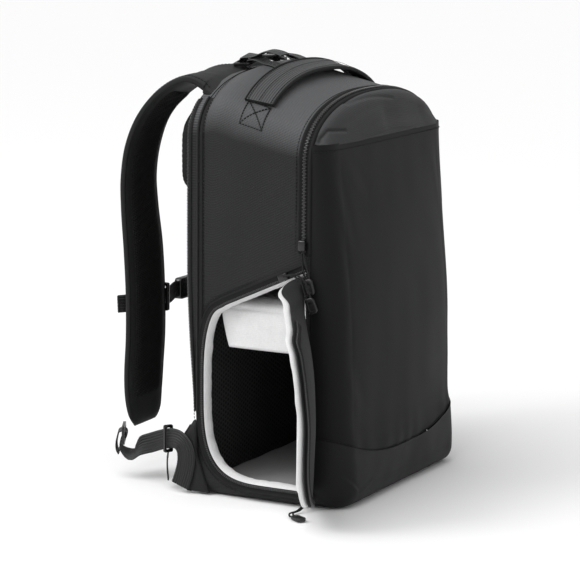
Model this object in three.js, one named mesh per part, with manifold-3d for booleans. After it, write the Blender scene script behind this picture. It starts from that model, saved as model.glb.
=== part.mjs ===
// Camera backpack that stands on its base with its side door open.
// Millimetres. +Z is up, +Y points at the wearer's back and -X at the side with the open door.
// The origin is on the ground, below the middle of the bag's width.
import * as THREE from "three";
import { mergeVertices } from "three/addons/utils/BufferGeometryUtils.js";
import Module from "manifold-3d";

const wasm = await Module();
wasm.setup();

// Main compartment
const BODY_HALF_WIDTH = 135;
const BODY_HEIGHT = 420;
const BACK_SEAM_Y = 85;
const FRONT_SEAM_Y = -39;
const SHOULDER_DROP = 62;
const SHOULDER_POWER = 2.3;
const BOTTOM_RADIUS = 14;
const BODY_WALL = 10;
const FRONT_WALL = 6;
const LINING = 1.4;
const GAP = 0.3;
const OUTLINE_STEPS = { bottom: 4, corner: 3, side: 5, arch: 22 };

// Crown of the body from the front seam (deep 0) to the back seam (deep 1), as shares of its depth and height
const CROWN_ROWS = [
  { deep: 0, tall: 0.943 },
  { deep: 0.435, tall: 0.968 },
  { deep: 0.677, tall: 0.986 },
  { deep: 0.863, tall: 1 },
  { deep: 1, tall: 0.988 },
];

// Side door, on the -X side: a straight front edge, a round lower corner and a top edge that slopes to the back
const DOOR_FRONT_Y = -34;
const DOOR_BACK_Y = 79;
const DOOR_BOTTOM_Z = 16;
const DOOR_FRONT_TOP_Z = 233.5;
const DOOR_TOP_SLOPE = 0.4545;
const DOOR_LOWER_CORNER = { wide: 74, tall: 94, power: 3.4 };
const DOOR_UPPER_CORNER = { wide: 26, tall: 73, power: 2.4 };
const RIM_ZIP_WIDTH = 4.2;
const RIM_ZIP_THICKNESS = 1.4;

// The open door flap: its angle from shut, at heights given as shares of the door's height
const FLAP_SKIN = 2.4;
const FLAP_PAD = 6.6;
const FLAP_EDGE_CLEARANCE = 2.2;
const FLAP_CURL = -10;
const FLAP_ZIP_WIDTH = 6;
const FLAP_ROWS = [
  { up: 0, angle: 129.5 },
  { up: 0.12, angle: 131 },
  { up: 0.4, angle: 132.5 },
  { up: 0.6, angle: 130 },
  { up: 0.72, angle: 126 },
  { up: 0.81, angle: 118.5 },
  { up: 0.86, angle: 110 },
  { up: 0.9, angle: 98 },
  { up: 0.935, angle: 58 },
  { up: 0.965, angle: 12 },
  { up: 0.98, angle: 0 },
  { up: 1, angle: 0 },
];

// Divider shelf over the camera bay, with its end turned down at the door
const SHELF_Z = 190;
const SHELF_THICKNESS = 9;
const SHELF_TAB_DROP = 46;
const SHELF_TAB_THICKNESS = 6;
const SHELF_TAB_INSET = 16;
const SHELF_TAB_TAPER = 0.2;
const SHELF_CLEARANCE = 0.3;

// Front pocket: a hollow shell in front of the front seam
const POCKET_WALL = 2;
const POCKET_DEPTH = 38;
const POCKET_BELLY = 6;
const SIDE_ROUND = 28;
const TOP_ROUND = 34;
const BASE_ROUND = 17;
const FRONT_CORNER = 18;
const POCKET_ROWS = [
  { up: 0, deep: 1 },
  { up: 0.09, deep: 1 },
  { up: 0.19, deep: 0.9 },
  { up: 0.42, deep: 0.8 },
  { up: 0.66, deep: 0.58 },
  { up: 0.85, deep: 0.39 },
  { up: 1, deep: 0.36 },
];
const HOOD_LIP_Z = 354;
const HOOD_LIP = 2.6;
const SMILE_LOW_Z = 44;
const SMILE_HIGH_Z = 70;
const SMILE_POWER = 2.5;
const BASE_PROUD = 0.8;

// Zip over the shoulder, between the compartment and the pocket
const FRONT_ZIP_BACK_Y = -26;
const FRONT_ZIP_FRONT_Y = -38;
const FRONT_ZIP_END_Z = 250;
const ZIP_TAPE = 1.6;

// Back panel with its rounded edge, the zip on that edge, the piping and the two pads
const PANEL_EDGE = 8;
const PANEL_CHAMFER = 6;
const PIPING_RADIUS = 1.2;
const BACK_ZIP_WIDTH = 6;
const BACK_ZIP_START_Z = 82;
const BACK_ZIP_STOP_X = 113;
const PAD_INSET = 18;
const PAD_GAP = 1;
const UPPER_PAD = { bottom: 292, top: 388, thickness: 21, edge: 8 };
const LOWER_PAD = { bottom: 44, top: 284, thickness: 8, edge: 8 };
const PAD_POWER = 6.5;
const PAD_STEPS = 32;
// Depth of the panel up its side, as a share of its full depth
const PANEL_ROWS = [
  { up: 0, deep: 0.2 },
  { up: 0.19, deep: 0.25 },
  { up: 0.36, deep: 0.72 },
  { up: 0.52, deep: 1 },
  { up: 1, deep: 1 },
];

// Grab handle across the top, of webbing folded to several layers
const HANDLE_Y = 30;
const HANDLE_WIDTH = 30;
const HANDLE_THICKNESS = 3.4;
const HANDLE_HALF_LENGTH = 113;
const HANDLE_LIFT = 5;

// Shoulder straps. A row is a section of the outer face: how far behind the back seam, as a share of the reach;
// its height, as a share of the body's; its middle's distance out, as a share of the half width; its width and
// thickness, as shares of the strap's; its lean and its turn about the vertical, in degrees.
const STRAP_REACH = 100;
const STRAP_WIDTH = 88;
const STRAP_THICKNESS = 10;
const STRAP_MESH = 1.5;
const STRAP_MESH_MARGIN = 8;
const STRAP_ROWS = [
  { back: 0.03, up: 0.967, out: 0.476, wide: 1, thick: 1, lean: 12, turn: 0 },
  { back: 0.18, up: 0.979, out: 0.489, wide: 0.95, thick: 1, lean: 9, turn: 0 },
  { back: 0.4, up: 0.976, out: 0.533, wide: 0.84, thick: 1, lean: 3, turn: 0 },
  { back: 0.65, up: 0.938, out: 0.585, wide: 0.73, thick: 1, lean: 0, turn: 0 },
  { back: 0.85, up: 0.88, out: 0.617, wide: 0.68, thick: 1, lean: 0, turn: 0 },
  { back: 0.97, up: 0.808, out: 0.63, wide: 0.66, thick: 1, lean: 0, turn: 2 },
  { back: 1.02, up: 0.729, out: 0.634, wide: 0.66, thick: 1, lean: 0, turn: 2 },
  { back: 1.01, up: 0.652, out: 0.632, wide: 0.67, thick: 1, lean: 0, turn: 3 },
  { back: 0.965, up: 0.557, out: 0.637, wide: 0.71, thick: 1, lean: 0, turn: 3 },
  { back: 0.94, up: 0.452, out: 0.637, wide: 0.7, thick: 1, lean: 0, turn: 4 },
  { back: 0.935, up: 0.348, out: 0.64, wide: 0.69, thick: 1, lean: 0, turn: 5 },
  { back: 0.955, up: 0.262, out: 0.64, wide: 0.67, thick: 1, lean: 0, turn: 6 },
  { back: 0.965, up: 0.2, out: 0.63, wide: 0.62, thick: 0.95, lean: 0, turn: 7 },
  { back: 0.96, up: 0.152, out: 0.61, wide: 0.52, thick: 0.8, lean: 0, turn: 9 },
  { back: 0.95, up: 0.122, out: 0.6, wide: 0.34, thick: 0.5, lean: 0, turn: 12 },
];

// Webbing and its moulded hardware
const LOWER_WEB_WIDTH = 20;
const LIFTER_WEB_WIDTH = 18;
const STERNUM_WEB_WIDTH = 18;
const WEB_THICKNESS = 1.6;
const LOCK_LENGTH = 19;
const LOCK_THICKNESS = 3;
const LOCK_BAR = 2.4;
const LOCK_SIDE = 3;
const LIFTER_LOCK = { out: 0.207, back: 6, lean: 12, clearance: 4.4 };
const LOWER_LOCK = { x: 23 - BODY_HALF_WIDTH, y: BACK_SEAM_Y + STRAP_REACH, z: 45, turn: 28 };
const WING_THICKNESS = 3.6;
const WING_TOP_Z = 76;
const WING_REACH = 18;

// A closed surface. Its triangles are turned to face out, whatever the order of its points.
function closedSurface(points, triangles) {
  let volume = 0;
  for (const [a, b, c] of triangles) volume += points[a].dot(points[b].clone().cross(points[c]));
  const faces = volume < 0 ? triangles.map(([a, b, c]) => [a, c, b]) : triangles;
  const geometry = new THREE.BufferGeometry();
  geometry.setAttribute("position", new THREE.Float32BufferAttribute(points.flatMap((p) => p.toArray()), 3));
  geometry.setIndex(faces.flat());
  return geometry;
}

// Skins rings of equal length. The ends are closed with fans, with rungs between the two mirrored sides that
// start at a given point, or by joining the last ring to the first.
function loft(rings, { joined = false, rungsFrom = null } = {}) {
  const count = rings[0].length;
  const points = rings.flat();
  const triangles = [];
  const strips = joined ? rings.length : rings.length - 1;
  for (let i = 0; i < strips; i++) {
    const near = i * count;
    const far = ((i + 1) % rings.length) * count;
    for (let j = 0; j < count; j++) {
      const k = (j + 1) % count;
      triangles.push([near + j, far + j, far + k], [near + j, far + k, near + k]);
    }
  }
  if (rungsFrom !== null) {
    for (const start of [0, (rings.length - 1) * count]) {
      for (let i = 0; i < count / 2; i++) {
        const [a, b] = [(rungsFrom + i) % count, (rungsFrom + i + 1) % count];
        const [c, d] = [(rungsFrom + count - i - 1) % count, (rungsFrom + count - i) % count];
        const rungs = [[a, b, c], [a, c, d]].filter((face) => new Set(face).size === 3);
        for (const face of rungs) triangles.push((start ? face.reverse() : face).map((k) => start + k));
      }
    }
  } else if (!joined) {
    for (const [ring, first] of [[rings[0], true], [rings.at(-1), false]]) {
      const start = first ? 0 : (rings.length - 1) * count;
      const middle = ring.reduce((sum, p) => sum.add(p), new THREE.Vector3()).divideScalar(count);
      const hub = points.push(middle) - 1;
      for (let j = 0; j < count; j++) {
        const k = (j + 1) % count;
        triangles.push(first ? [start + j, start + k, hub] : [start + k, start + j, hub]);
      }
    }
  }
  return closedSurface(points, triangles);
}

function toManifold(geometry) {
  const bare = new THREE.BufferGeometry();
  bare.setAttribute("position", geometry.getAttribute("position"));
  if (geometry.index) bare.setIndex(geometry.index);
  const merged = mergeVertices(bare, 1e-4);
  const vertProperties = merged.attributes.position.array;
  const triVerts = new Uint32Array(merged.index.array);
  return new wasm.Manifold(new wasm.Mesh({ numProp: 3, vertProperties, triVerts }));
}

function fromManifold(manifold) {
  const mesh = manifold.getMesh();
  const geometry = new THREE.BufferGeometry();
  geometry.setAttribute("position", new THREE.BufferAttribute(mesh.vertProperties, 3));
  geometry.setIndex(new THREE.BufferAttribute(mesh.triVerts, 1));
  return geometry;
}

const cut = (geometry, ...tools) =>
  fromManifold(tools.reduce((left, tool) => left.subtract(toManifold(tool)), toManifold(geometry)));
const join = (geometry, ...others) =>
  fromManifold(others.reduce((sum, other) => sum.add(toManifold(other)), toManifold(geometry)));
const keepInside = (geometry, tool) => fromManifold(toManifold(geometry).intersect(toManifold(tool)));

function mirrored(geometry) {
  const copy = geometry.clone().applyMatrix4(new THREE.Matrix4().makeScale(-1, 1, 1));
  const faces = copy.index ? Array.from(copy.index.array) : [...Array(copy.attributes.position.count).keys()];
  for (let i = 0; i < faces.length; i += 3) [faces[i + 1], faces[i + 2]] = [faces[i + 2], faces[i + 1]];
  copy.setIndex(faces);
  return copy;
}

const at = (x, y, z) => new THREE.Vector3(x, y, z);

// Value of a table's column at a place along another column, on a smooth curve through its rows
function column(rows, along, key, place) {
  const last = rows.length - 1;
  const held = THREE.MathUtils.clamp(place, rows[0][along], rows[last][along]);
  let row = 0;
  while (row < last - 1 && held > rows[row + 1][along]) row++;
  const share = (held - rows[row][along]) / (rows[row + 1][along] - rows[row][along]);
  return between(rows, row, share, key);
}

function between(rows, row, share, key) {
  const near = (step) => rows[THREE.MathUtils.clamp(row + step, 0, rows.length - 1)][key];
  const [a, b, c, d] = [near(-1), near(0), near(1), near(2)];
  const square = share * share;
  const bend = (2 * a - 5 * b + 4 * c - d) * square + (3 * b - a - 3 * c + d) * square * share;
  return (2 * b + (c - a) * share + bend) / 2;
}

// The rows of a table with more rows in between
function smoothRows(rows, steps) {
  const more = [];
  for (let i = 0; i <= (rows.length - 1) * steps; i++) {
    const row = Math.min(Math.floor(i / steps), rows.length - 2);
    const keys = Object.keys(rows[0]);
    more.push(Object.fromEntries(keys.map((key) => [key, between(rows, row, i / steps - row, key)])));
  }
  return more;
}

const signedPower = (value, power) => Math.sign(value) * Math.abs(value) ** power;

function crownAt(y) {
  const deep = THREE.MathUtils.clamp((y - FRONT_SEAM_Y) / (BACK_SEAM_Y - FRONT_SEAM_Y), 0, 1);
  const next = Math.max(CROWN_ROWS.findIndex((row) => row.deep >= deep), 1);
  const [a, b] = [CROWN_ROWS[next - 1], CROWN_ROWS[next]];
  return BODY_HEIGHT * THREE.MathUtils.lerp(a.tall, b.tall, (deep - a.deep) / (b.deep - a.deep));
}

// How far the arch lies below its crown at a distance x from the middle
function archDrop(x) {
  const side = Math.min(Math.abs(x) / BODY_HALF_WIDTH, 1);
  return SHOULDER_DROP * (1 - (1 - side ** SHOULDER_POWER) ** (1 / SHOULDER_POWER));
}

// Outline of the body across its width at a depth y, anticlockwise seen from the front, with its normals
function bodyOutline(y, inset, corner = BOTTOM_RADIUS) {
  const half = BODY_HALF_WIDTH - inset;
  const radius = Math.max(corner - inset, 2);
  const spring = crownAt(y) - SHOULDER_DROP;
  const rise = SHOULDER_DROP - inset;
  const points = [];
  const steps = OUTLINE_STEPS;
  for (let i = 0; i <= steps.bottom; i++) {
    points.push({ x: (half - radius) * ((2 * i) / steps.bottom - 1), z: inset });
  }
  for (let i = 1; i <= steps.corner; i++) {
    const angle = (i / steps.corner) * (Math.PI / 2);
    points.push({ x: half - radius + radius * Math.sin(angle), z: inset + radius * (1 - Math.cos(angle)) });
  }
  for (let i = 1; i <= steps.side; i++) {
    points.push({ x: half, z: THREE.MathUtils.lerp(inset + radius, spring, i / steps.side) });
  }
  for (let i = 1; i < steps.arch; i++) {
    const angle = (i / steps.arch) * Math.PI;
    const power = 2 / SHOULDER_POWER;
    const x = half * signedPower(Math.cos(angle), power);
    points.push({ x, z: spring + rise * Math.sin(angle) ** power });
  }
  for (let i = 0; i <= steps.side; i++) {
    points.push({ x: -half, z: THREE.MathUtils.lerp(spring, inset + radius, i / steps.side) });
  }
  for (let i = 1; i < steps.corner; i++) {
    const angle = (i / steps.corner) * (Math.PI / 2);
    points.push({ x: -half + radius * (1 - Math.cos(angle)), z: inset + radius * (1 - Math.sin(angle)) });
  }
  return withNormals(points);
}

// Adds the outward normal (nx, nz) of each point of a closed outline that runs anticlockwise
function withNormals(points) {
  const count = points.length;
  return points.map((point, i) => {
    const before = points[(i + count - 1) % count];
    const after = points[(i + 1) % count];
    const run = at(after.z - before.z, 0, before.x - after.x).normalize();
    return { ...point, nx: run.x, nz: run.z };
  });
}

const outlineRing = (y, inset, atY = y) => bodyOutline(y, inset).map((p) => at(p.x, atY, p.z));

// The stretch of the outline over the arch, between the same height on both sides
function overArch(y, inset, endZ) {
  const points = bodyOutline(y, inset).filter((p) => p.z > endZ);
  const half = BODY_HALF_WIDTH - inset;
  return [{ x: half, z: endZ, nx: 1, nz: 0 }, ...points, { x: -half, z: endZ, nx: -1, nz: 0 }];
}

// Main compartment: its wall is padded, its front wall parts it from the pocket, and its back is open
function bodyDepths(from, to) {
  const depths = CROWN_ROWS.map(({ deep }) => THREE.MathUtils.lerp(FRONT_SEAM_Y, BACK_SEAM_Y, deep));
  return [from, ...depths.filter((y) => y > from + 1 && y < to - 1), to];
}

function bodyBlock(inset, from, to) {
  return loft(bodyDepths(from, to).map((y) => outlineRing(y, inset)));
}

// Outline of the door opening on the bag's side, from the bottom of its front edge, as points (y, z)
function doorOutline(inset = 0) {
  const { wide, tall, power } = DOOR_LOWER_CORNER;
  const upper = DOOR_UPPER_CORNER;
  const cornerSteps = 9;
  const points = [{ y: DOOR_FRONT_Y, z: DOOR_BOTTOM_Z }];
  for (let i = 0; i <= cornerSteps; i++) {
    const angle = (i / cornerSteps) * (Math.PI / 2);
    const y = DOOR_BACK_Y - wide + wide * Math.sin(angle) ** (2 / power);
    points.push({ y, z: DOOR_BOTTOM_Z + tall - tall * Math.cos(angle) ** (2 / power) });
  }
  const springZ = DOOR_BOTTOM_Z + tall + 10;
  for (let i = 0; i < cornerSteps; i++) {
    const angle = (i / cornerSteps) * (Math.PI / 2);
    const y = DOOR_BACK_Y - upper.wide + upper.wide * Math.cos(angle) ** (2 / upper.power);
    const z = springZ + upper.tall * Math.sin(angle) ** (2 / upper.power);
    if (z < doorTopAt(y)) points.push({ y, z });
  }
  const topSteps = 8;
  const backTopY = DOOR_BACK_Y - upper.wide * 0.8;
  for (let i = 0; i <= topSteps; i++) {
    const y = THREE.MathUtils.lerp(backTopY, DOOR_FRONT_Y, i / topSteps);
    points.push({ y, z: doorTopAt(y) });
  }
  return moved(points, -inset);
}

const doorTopAt = (y) => DOOR_FRONT_TOP_Z - DOOR_TOP_SLOPE * (y - DOOR_FRONT_Y);

// Moves a closed outline of points (y, z) outwards
function moved(points, distance) {
  if (!distance) return points;
  const count = points.length;
  return points.map((point, i) => {
    const before = points[(i + count - 1) % count];
    const after = points[(i + 1) % count];
    const ahead = new THREE.Vector2(after.y - point.y, after.z - point.z).normalize();
    const behind = new THREE.Vector2(point.y - before.y, point.z - before.z).normalize();
    const normal = new THREE.Vector2(ahead.y + behind.y, -ahead.x - behind.x).normalize();
    const reach = distance / Math.max(normal.x * ahead.y - normal.y * ahead.x, 0.5);
    return { y: point.y + normal.x * reach, z: point.z + normal.y * reach };
  });
}

function alongX(points, from, to) {
  return loft([from, to].map((x) => points.map((p) => at(x, p.y, p.z))));
}

const SIDE_X = -BODY_HALF_WIDTH;

function bodyShell() {
  const inside = bodyBlock(BODY_WALL, FRONT_SEAM_Y + FRONT_WALL, BACK_SEAM_Y + 10);
  const door = alongX(doorOutline(), SIDE_X - 10, SIDE_X + BODY_WALL + 10);
  return cut(bodyBlock(0, FRONT_SEAM_Y, BACK_SEAM_Y), inside, door);
}

// Thin light lining: a skin inside the compartment and a sleeve through the door opening
function bodyLining() {
  const frontY = FRONT_SEAM_Y + FRONT_WALL + GAP;
  const skin = bodyBlock(BODY_WALL + GAP, frontY, BACK_SEAM_Y);
  const inside = bodyBlock(BODY_WALL + GAP + LINING, frontY + LINING, BACK_SEAM_Y + 10);
  const sleeve = alongX(doorOutline(GAP), SIDE_X + 0.2, SIDE_X + BODY_WALL + 1);
  const opening = alongX(doorOutline(GAP + LINING), SIDE_X - 10, SIDE_X + BODY_WALL + 10);
  return cut(join(cut(skin, inside), sleeve), opening);
}

// Shelf across the compartment, with its end curved down at the door like a soft tab
function bayDivider() {
  const room = BODY_HALF_WIDTH - BODY_WALL - GAP - LINING - SHELF_CLEARANCE;
  const frontY = FRONT_SEAM_Y + FRONT_WALL + GAP + LINING + SHELF_CLEARANCE;
  const backY = BACK_SEAM_Y - SHELF_CLEARANCE;
  const [top, low] = [SHELF_Z + SHELF_THICKNESS, SHELF_Z - SHELF_TAB_DROP];
  const tabX = -room + 30;
  const section = new THREE.Shape();
  section.moveTo(room, SHELF_Z).lineTo(room, top).lineTo(tabX, top);
  section.absarc(-room + SHELF_THICKNESS, SHELF_Z, SHELF_THICKNESS, Math.PI / 2, Math.PI, false);
  section.lineTo(-room, low).lineTo(-room + SHELF_TAB_THICKNESS, low);
  section.absarc(-room + SHELF_TAB_THICKNESS + 3, SHELF_Z - 3, 3, Math.PI, Math.PI / 2, true);
  section.lineTo(tabX, SHELF_Z);
  const shelf = new THREE.ExtrudeGeometry(section, { depth: backY - frontY, bevelEnabled: false, curveSegments: 5 });
  shelf.rotateX(Math.PI / 2).translate(0, backY, 0);
  const places = shelf.getAttribute("position");
  for (let i = 0; i < places.count; i++) {
    const [x, y, z] = [places.getX(i), places.getY(i), places.getZ(i)];
    const tab = x < tabX - 1 && y > 0;
    if (tab) places.setY(i, y - SHELF_TAB_INSET - SHELF_TAB_TAPER * Math.max(SHELF_Z - z, 0));
  }
  return shelf;
}

// Front pocket and what covers it share one form: the seam's outline, rounded forward to a bellied front
function pocketDepthAt(z) {
  return POCKET_DEPTH * column(POCKET_ROWS, "up", "deep", z / BODY_HEIGHT);
}

function frontBlock(inset, seamY) {
  const seam = bodyOutline(FRONT_SEAM_Y, inset);
  const rings = [seam.map((p) => at(p.x, seamY, p.z))];
  const crown = crownAt(FRONT_SEAM_Y);
  const rounded = (share) =>
    bodyOutline(FRONT_SEAM_Y, inset, BOTTOM_RADIUS + FRONT_CORNER * share).map((p) => ({
      x: p.x * (1 - (SIDE_ROUND * share) / BODY_HALF_WIDTH),
      z: THREE.MathUtils.lerp(BASE_ROUND * share, crown - TOP_ROUND * share, p.z / crown),
    }));
  const frontY = (z) => FRONT_SEAM_Y - GAP - pocketDepthAt(z) + inset;
  const roundSteps = 5;
  for (let i = 1; i <= roundSteps; i++) {
    const angle = (i / roundSteps) * (Math.PI / 2);
    const rootY = FRONT_SEAM_Y - GAP;
    rings.push(rounded(1 - Math.cos(angle)).map(({ x, z }) =>
      at(x, THREE.MathUtils.lerp(rootY, frontY(z), Math.sin(angle)), z)));
  }
  const spine = { low: 0.28 * BODY_HEIGHT, high: 0.62 * BODY_HEIGHT };
  for (const share of [0.4, 0.85]) {
    rings.push(rounded(1).map(({ x, z }) => {
      const spineZ = THREE.MathUtils.clamp(z, spine.low, spine.high);
      const endZ = THREE.MathUtils.lerp(z, spineZ, share);
      const belly = POCKET_BELLY * (1 - (1 - share) ** 2);
      return at(x * (1 - share), frontY(endZ) - belly, endZ);
    }));
  }
  return loft(rings);
}

// The pocket's form as a shell, standing proud of the seam
function frontShell(proud) {
  const inside = frontBlock(POCKET_WALL - proud, FRONT_SEAM_Y + 10);
  return cut(frontBlock(-proud, FRONT_SEAM_Y - GAP), inside);
}

// Everything in front of the seam between two heights, each given as a function of x
function frontSlab(lowZ, highZ) {
  const reach = BODY_HALF_WIDTH + 20;
  const steps = 14;
  const xs = Array.from({ length: steps + 1 }, (_, i) => THREE.MathUtils.lerp(-reach, reach, i / steps));
  const outline = [...xs.map((x) => [x, lowZ(x)]), ...xs.reverse().map((x) => [x, highZ(x)])];
  return loft([FRONT_SEAM_Y + 20, FRONT_SEAM_Y - 90].map((y) => outline.map(([x, z]) => at(x, y, z))));
}

function smileAt(x) {
  const side = Math.min(Math.abs(x) / BODY_HALF_WIDTH, 1);
  return THREE.MathUtils.lerp(SMILE_LOW_Z, SMILE_HIGH_Z, side ** SMILE_POWER);
}

const frontPocket = () =>
  keepInside(frontShell(0), frontSlab((x) => smileAt(x) + GAP / 2, () => HOOD_LIP_Z - GAP / 2));
const pocketHood = () =>
  keepInside(frontShell(HOOD_LIP), frontSlab(() => HOOD_LIP_Z + GAP / 2, () => BODY_HEIGHT + 20));
const basePanel = () =>
  keepInside(frontShell(BASE_PROUD), frontSlab(() => 0, (x) => smileAt(x) - GAP / 2));

// Zip over the shoulder: a band on the body's surface
function frontZip() {
  const back = overArch(FRONT_ZIP_BACK_Y, 0, FRONT_ZIP_END_Z);
  const front = overArch(FRONT_ZIP_FRONT_Y, 0, FRONT_ZIP_END_Z);
  const rings = back.map((p, i) => {
    const q = front[i];
    const lifted = (r, y, out) => at(r.x + r.nx * out, y, r.z + r.nz * out);
    const top = GAP + ZIP_TAPE;
    return [
      lifted(p, FRONT_ZIP_BACK_Y, GAP), lifted(p, FRONT_ZIP_BACK_Y, top),
      lifted(q, FRONT_ZIP_FRONT_Y, top), lifted(q, FRONT_ZIP_FRONT_Y, GAP),
    ];
  });
  return loft(rings);
}

// Back panel: its edge goes straight back from the seam and then slopes in. It is thinner towards the base, and
// the straps' roots are let into its top.
function panelShare(z) {
  return column(PANEL_ROWS, "up", "deep", z / BODY_HEIGHT);
}

const panelFaceAt = (z) => BACK_SEAM_Y + GAP + (PANEL_EDGE + PANEL_CHAMFER) * panelShare(z);

function panelRing(depth, inset) {
  const rim = bodyOutline(BACK_SEAM_Y, inset);
  return rim.map((p) => at(p.x, BACK_SEAM_Y + GAP + depth * panelShare(p.z), p.z));
}

const PANEL_INSET = 0.6;

function backPanel() {
  const block = loft([
    panelRing(0, PANEL_INSET), panelRing(PANEL_EDGE, PANEL_INSET + GAP),
    panelRing(PANEL_EDGE + PANEL_CHAMFER, PANEL_INSET + PANEL_CHAMFER),
  ], { rungsFrom: OUTLINE_STEPS.bottom / 2 });
  const root = strapSolid(2 * GAP);
  return cut(block, root, mirrored(root));
}

// The stretch of the +X side of the outline from the wing's top up to the strap's root
function besideStrap(inset) {
  const half = BODY_HALF_WIDTH - inset;
  const rest = bodyOutline(BACK_SEAM_Y, inset);
  const side = rest.filter((p) => p.x > BACK_ZIP_STOP_X && p.z > BACK_ZIP_START_Z);
  return [{ x: half, z: BACK_ZIP_START_Z, nx: 1, nz: 0 }, ...side];
}

function backPiping() {
  const sides = 8;
  const stand = PIPING_RADIUS + GAP;
  const rings = besideStrap(0).map((p) =>
    Array.from({ length: sides }, (_, i) => {
      const angle = (i / sides) * 2 * Math.PI;
      const out = stand + PIPING_RADIUS * Math.cos(angle);
      return at(p.x + p.nx * out, BACK_SEAM_Y + PIPING_RADIUS * Math.sin(angle), p.z + p.nz * out);
    }));
  return loft(rings);
}

// A row of outline points with the middle of each stretch added
function halved(points) {
  const middle = (a, b) => ({ x: (a.x + b.x) / 2, z: (a.z + b.z) / 2, nx: a.nx, nz: a.nz });
  return points.flatMap((p, i) => (i ? [middle(p, points[i - 1]), p] : [p]));
}

// The zip lies on the sloping edge of the back panel
function backZip() {
  const rings = halved(besideStrap(0)).map((p) => {
    const share = panelShare(p.z);
    const slope = new THREE.Vector2(PANEL_CHAMFER * share, PANEL_CHAMFER - GAP).normalize();
    const inset = PANEL_INSET + PANEL_CHAMFER / 2;
    const depth = (PANEL_EDGE + PANEL_CHAMFER / 2) * share;
    const corner = (across, out) => {
      const outwards = -inset + slope.x * out - slope.y * across;
      const back = GAP + depth + slope.y * out + slope.x * across;
      return at(p.x + p.nx * outwards, BACK_SEAM_Y + back, p.z + p.nz * outwards);
    };
    const half = BACK_ZIP_WIDTH / 2;
    const [low, high] = [3 * GAP, 3 * GAP + ZIP_TAPE];
    return [corner(-half, low), corner(-half, high), corner(half, high), corner(half, low)];
  });
  return loft(rings);
}

// A pad on the back panel: a rounded outline under the arch, crowned towards the wearer
function backPad({ bottom, top, thickness, edge }) {
  const half = BODY_HALF_WIDTH - PAD_INSET;
  const arch = (x) => Math.min(top, crownAt(BACK_SEAM_Y) - archDrop(x) - PAD_INSET);
  const layers = [
    { inset: 0.8, lift: 0 }, { inset: 0, lift: 0.3 }, { inset: 0.2, lift: 0.65 },
    { inset: 0.5, lift: 0.9 }, { inset: 1.2, lift: 1 },
  ];
  return loft(layers.map(({ inset, lift }) => {
    const side = half - edge * inset;
    const low = bottom + edge * inset;
    const ring = [];
    for (let i = 0; i < PAD_STEPS; i++) {
      const angle = (i / PAD_STEPS) * 2 * Math.PI;
      const x = side * signedPower(Math.cos(angle), 2 / PAD_POWER);
      const share = (1 + signedPower(Math.sin(angle), 2 / PAD_POWER)) / 2;
      const z = THREE.MathUtils.lerp(low, arch(Math.abs(x)) - edge * inset, share);
      ring.push(at(x, panelFaceAt(z) + PAD_GAP + thickness * lift, z));
    }
    return ring;
  }), { rungsFrom: (3 * PAD_STEPS) / 4 });
}

// Door flap: how far it stands open at a height, in radians
function flapOpening(z) {
  const up = (z - DOOR_BOTTOM_Z) / (DOOR_FRONT_TOP_Z - DOOR_BOTTOM_Z);
  return radians(column(FLAP_ROWS, "up", "angle", up));
}

// A place on the shut door (distance from the hinge, height, depth outwards) taken to the open door
function flapPoint(reach, z, out) {
  const open = flapOpening(z);
  const share = reach / (DOOR_BACK_Y - DOOR_FRONT_Y);
  const angle = open + (radians(FLAP_CURL) * share * share * open) / radians(90);
  const [sin, cos] = [Math.sin(angle), Math.cos(angle)];
  const hingeX = SIDE_X - 2 * GAP;
  return at(hingeX - reach * sin - out * cos, DOOR_FRONT_Y + reach * cos - out * sin, z);
}

// How far the shut door reaches from the hinge at a height
function doorReach(z, clearance) {
  const outline = doorOutline(clearance);
  let reach = 0;
  for (let i = 1; i < outline.length - 1; i++) {
    const [a, b] = [outline[i], outline[i + 1]];
    const spans = (a.z - z) * (b.z - z) <= 0 && a.z !== b.z;
    const y = spans ? THREE.MathUtils.lerp(a.y, b.y, (z - a.z) / (b.z - a.z)) : DOOR_FRONT_Y;
    reach = Math.max(reach, y - DOOR_FRONT_Y);
  }
  return reach;
}

function flapHeights() {
  const low = DOOR_BOTTOM_Z + FLAP_EDGE_CLEARANCE + 0.4;
  const high = DOOR_FRONT_TOP_Z - 6;
  const shares = [0, 0.006, 0.02, 0.05, 0.12, 0.25, 0.45, 0.65, 0.78, 0.84, 0.88];
  for (let share = 0.9; share <= 1.0001; share += 0.0125) shares.push(share);
  return shares.map((share) => THREE.MathUtils.lerp(low, high, share));
}

// One layer of the flap. Where it is half open, its inner corner is drawn in to clear the opening.
function flapLayer(inner, outer) {
  const steps = 4;
  const start = FLAP_EDGE_CLEARANCE;
  return loft(flapHeights().map((z) => {
    const swing = 0.7 * Math.abs(inner) * Math.sin(Math.min(2 * flapOpening(z), Math.PI));
    const wide = Math.max(doorReach(z, FLAP_EDGE_CLEARANCE) - swing, start + 1);
    const reaches = Array.from({ length: steps + 1 }, (_, i) => THREE.MathUtils.lerp(start, wide, i / steps));
    const face = reaches.map((reach) => flapPoint(reach, z, outer));
    return [...face, ...reaches.reverse().map((reach) => flapPoint(reach, z, inner))];
  }));
}

const PAD_OUTSIDE = -FLAP_SKIN - 2 * GAP;
const doorFlap = () => flapLayer(-FLAP_SKIN, 0);
const doorPad = () => flapLayer(PAD_OUTSIDE, PAD_OUTSIDE - FLAP_PAD);

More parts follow.
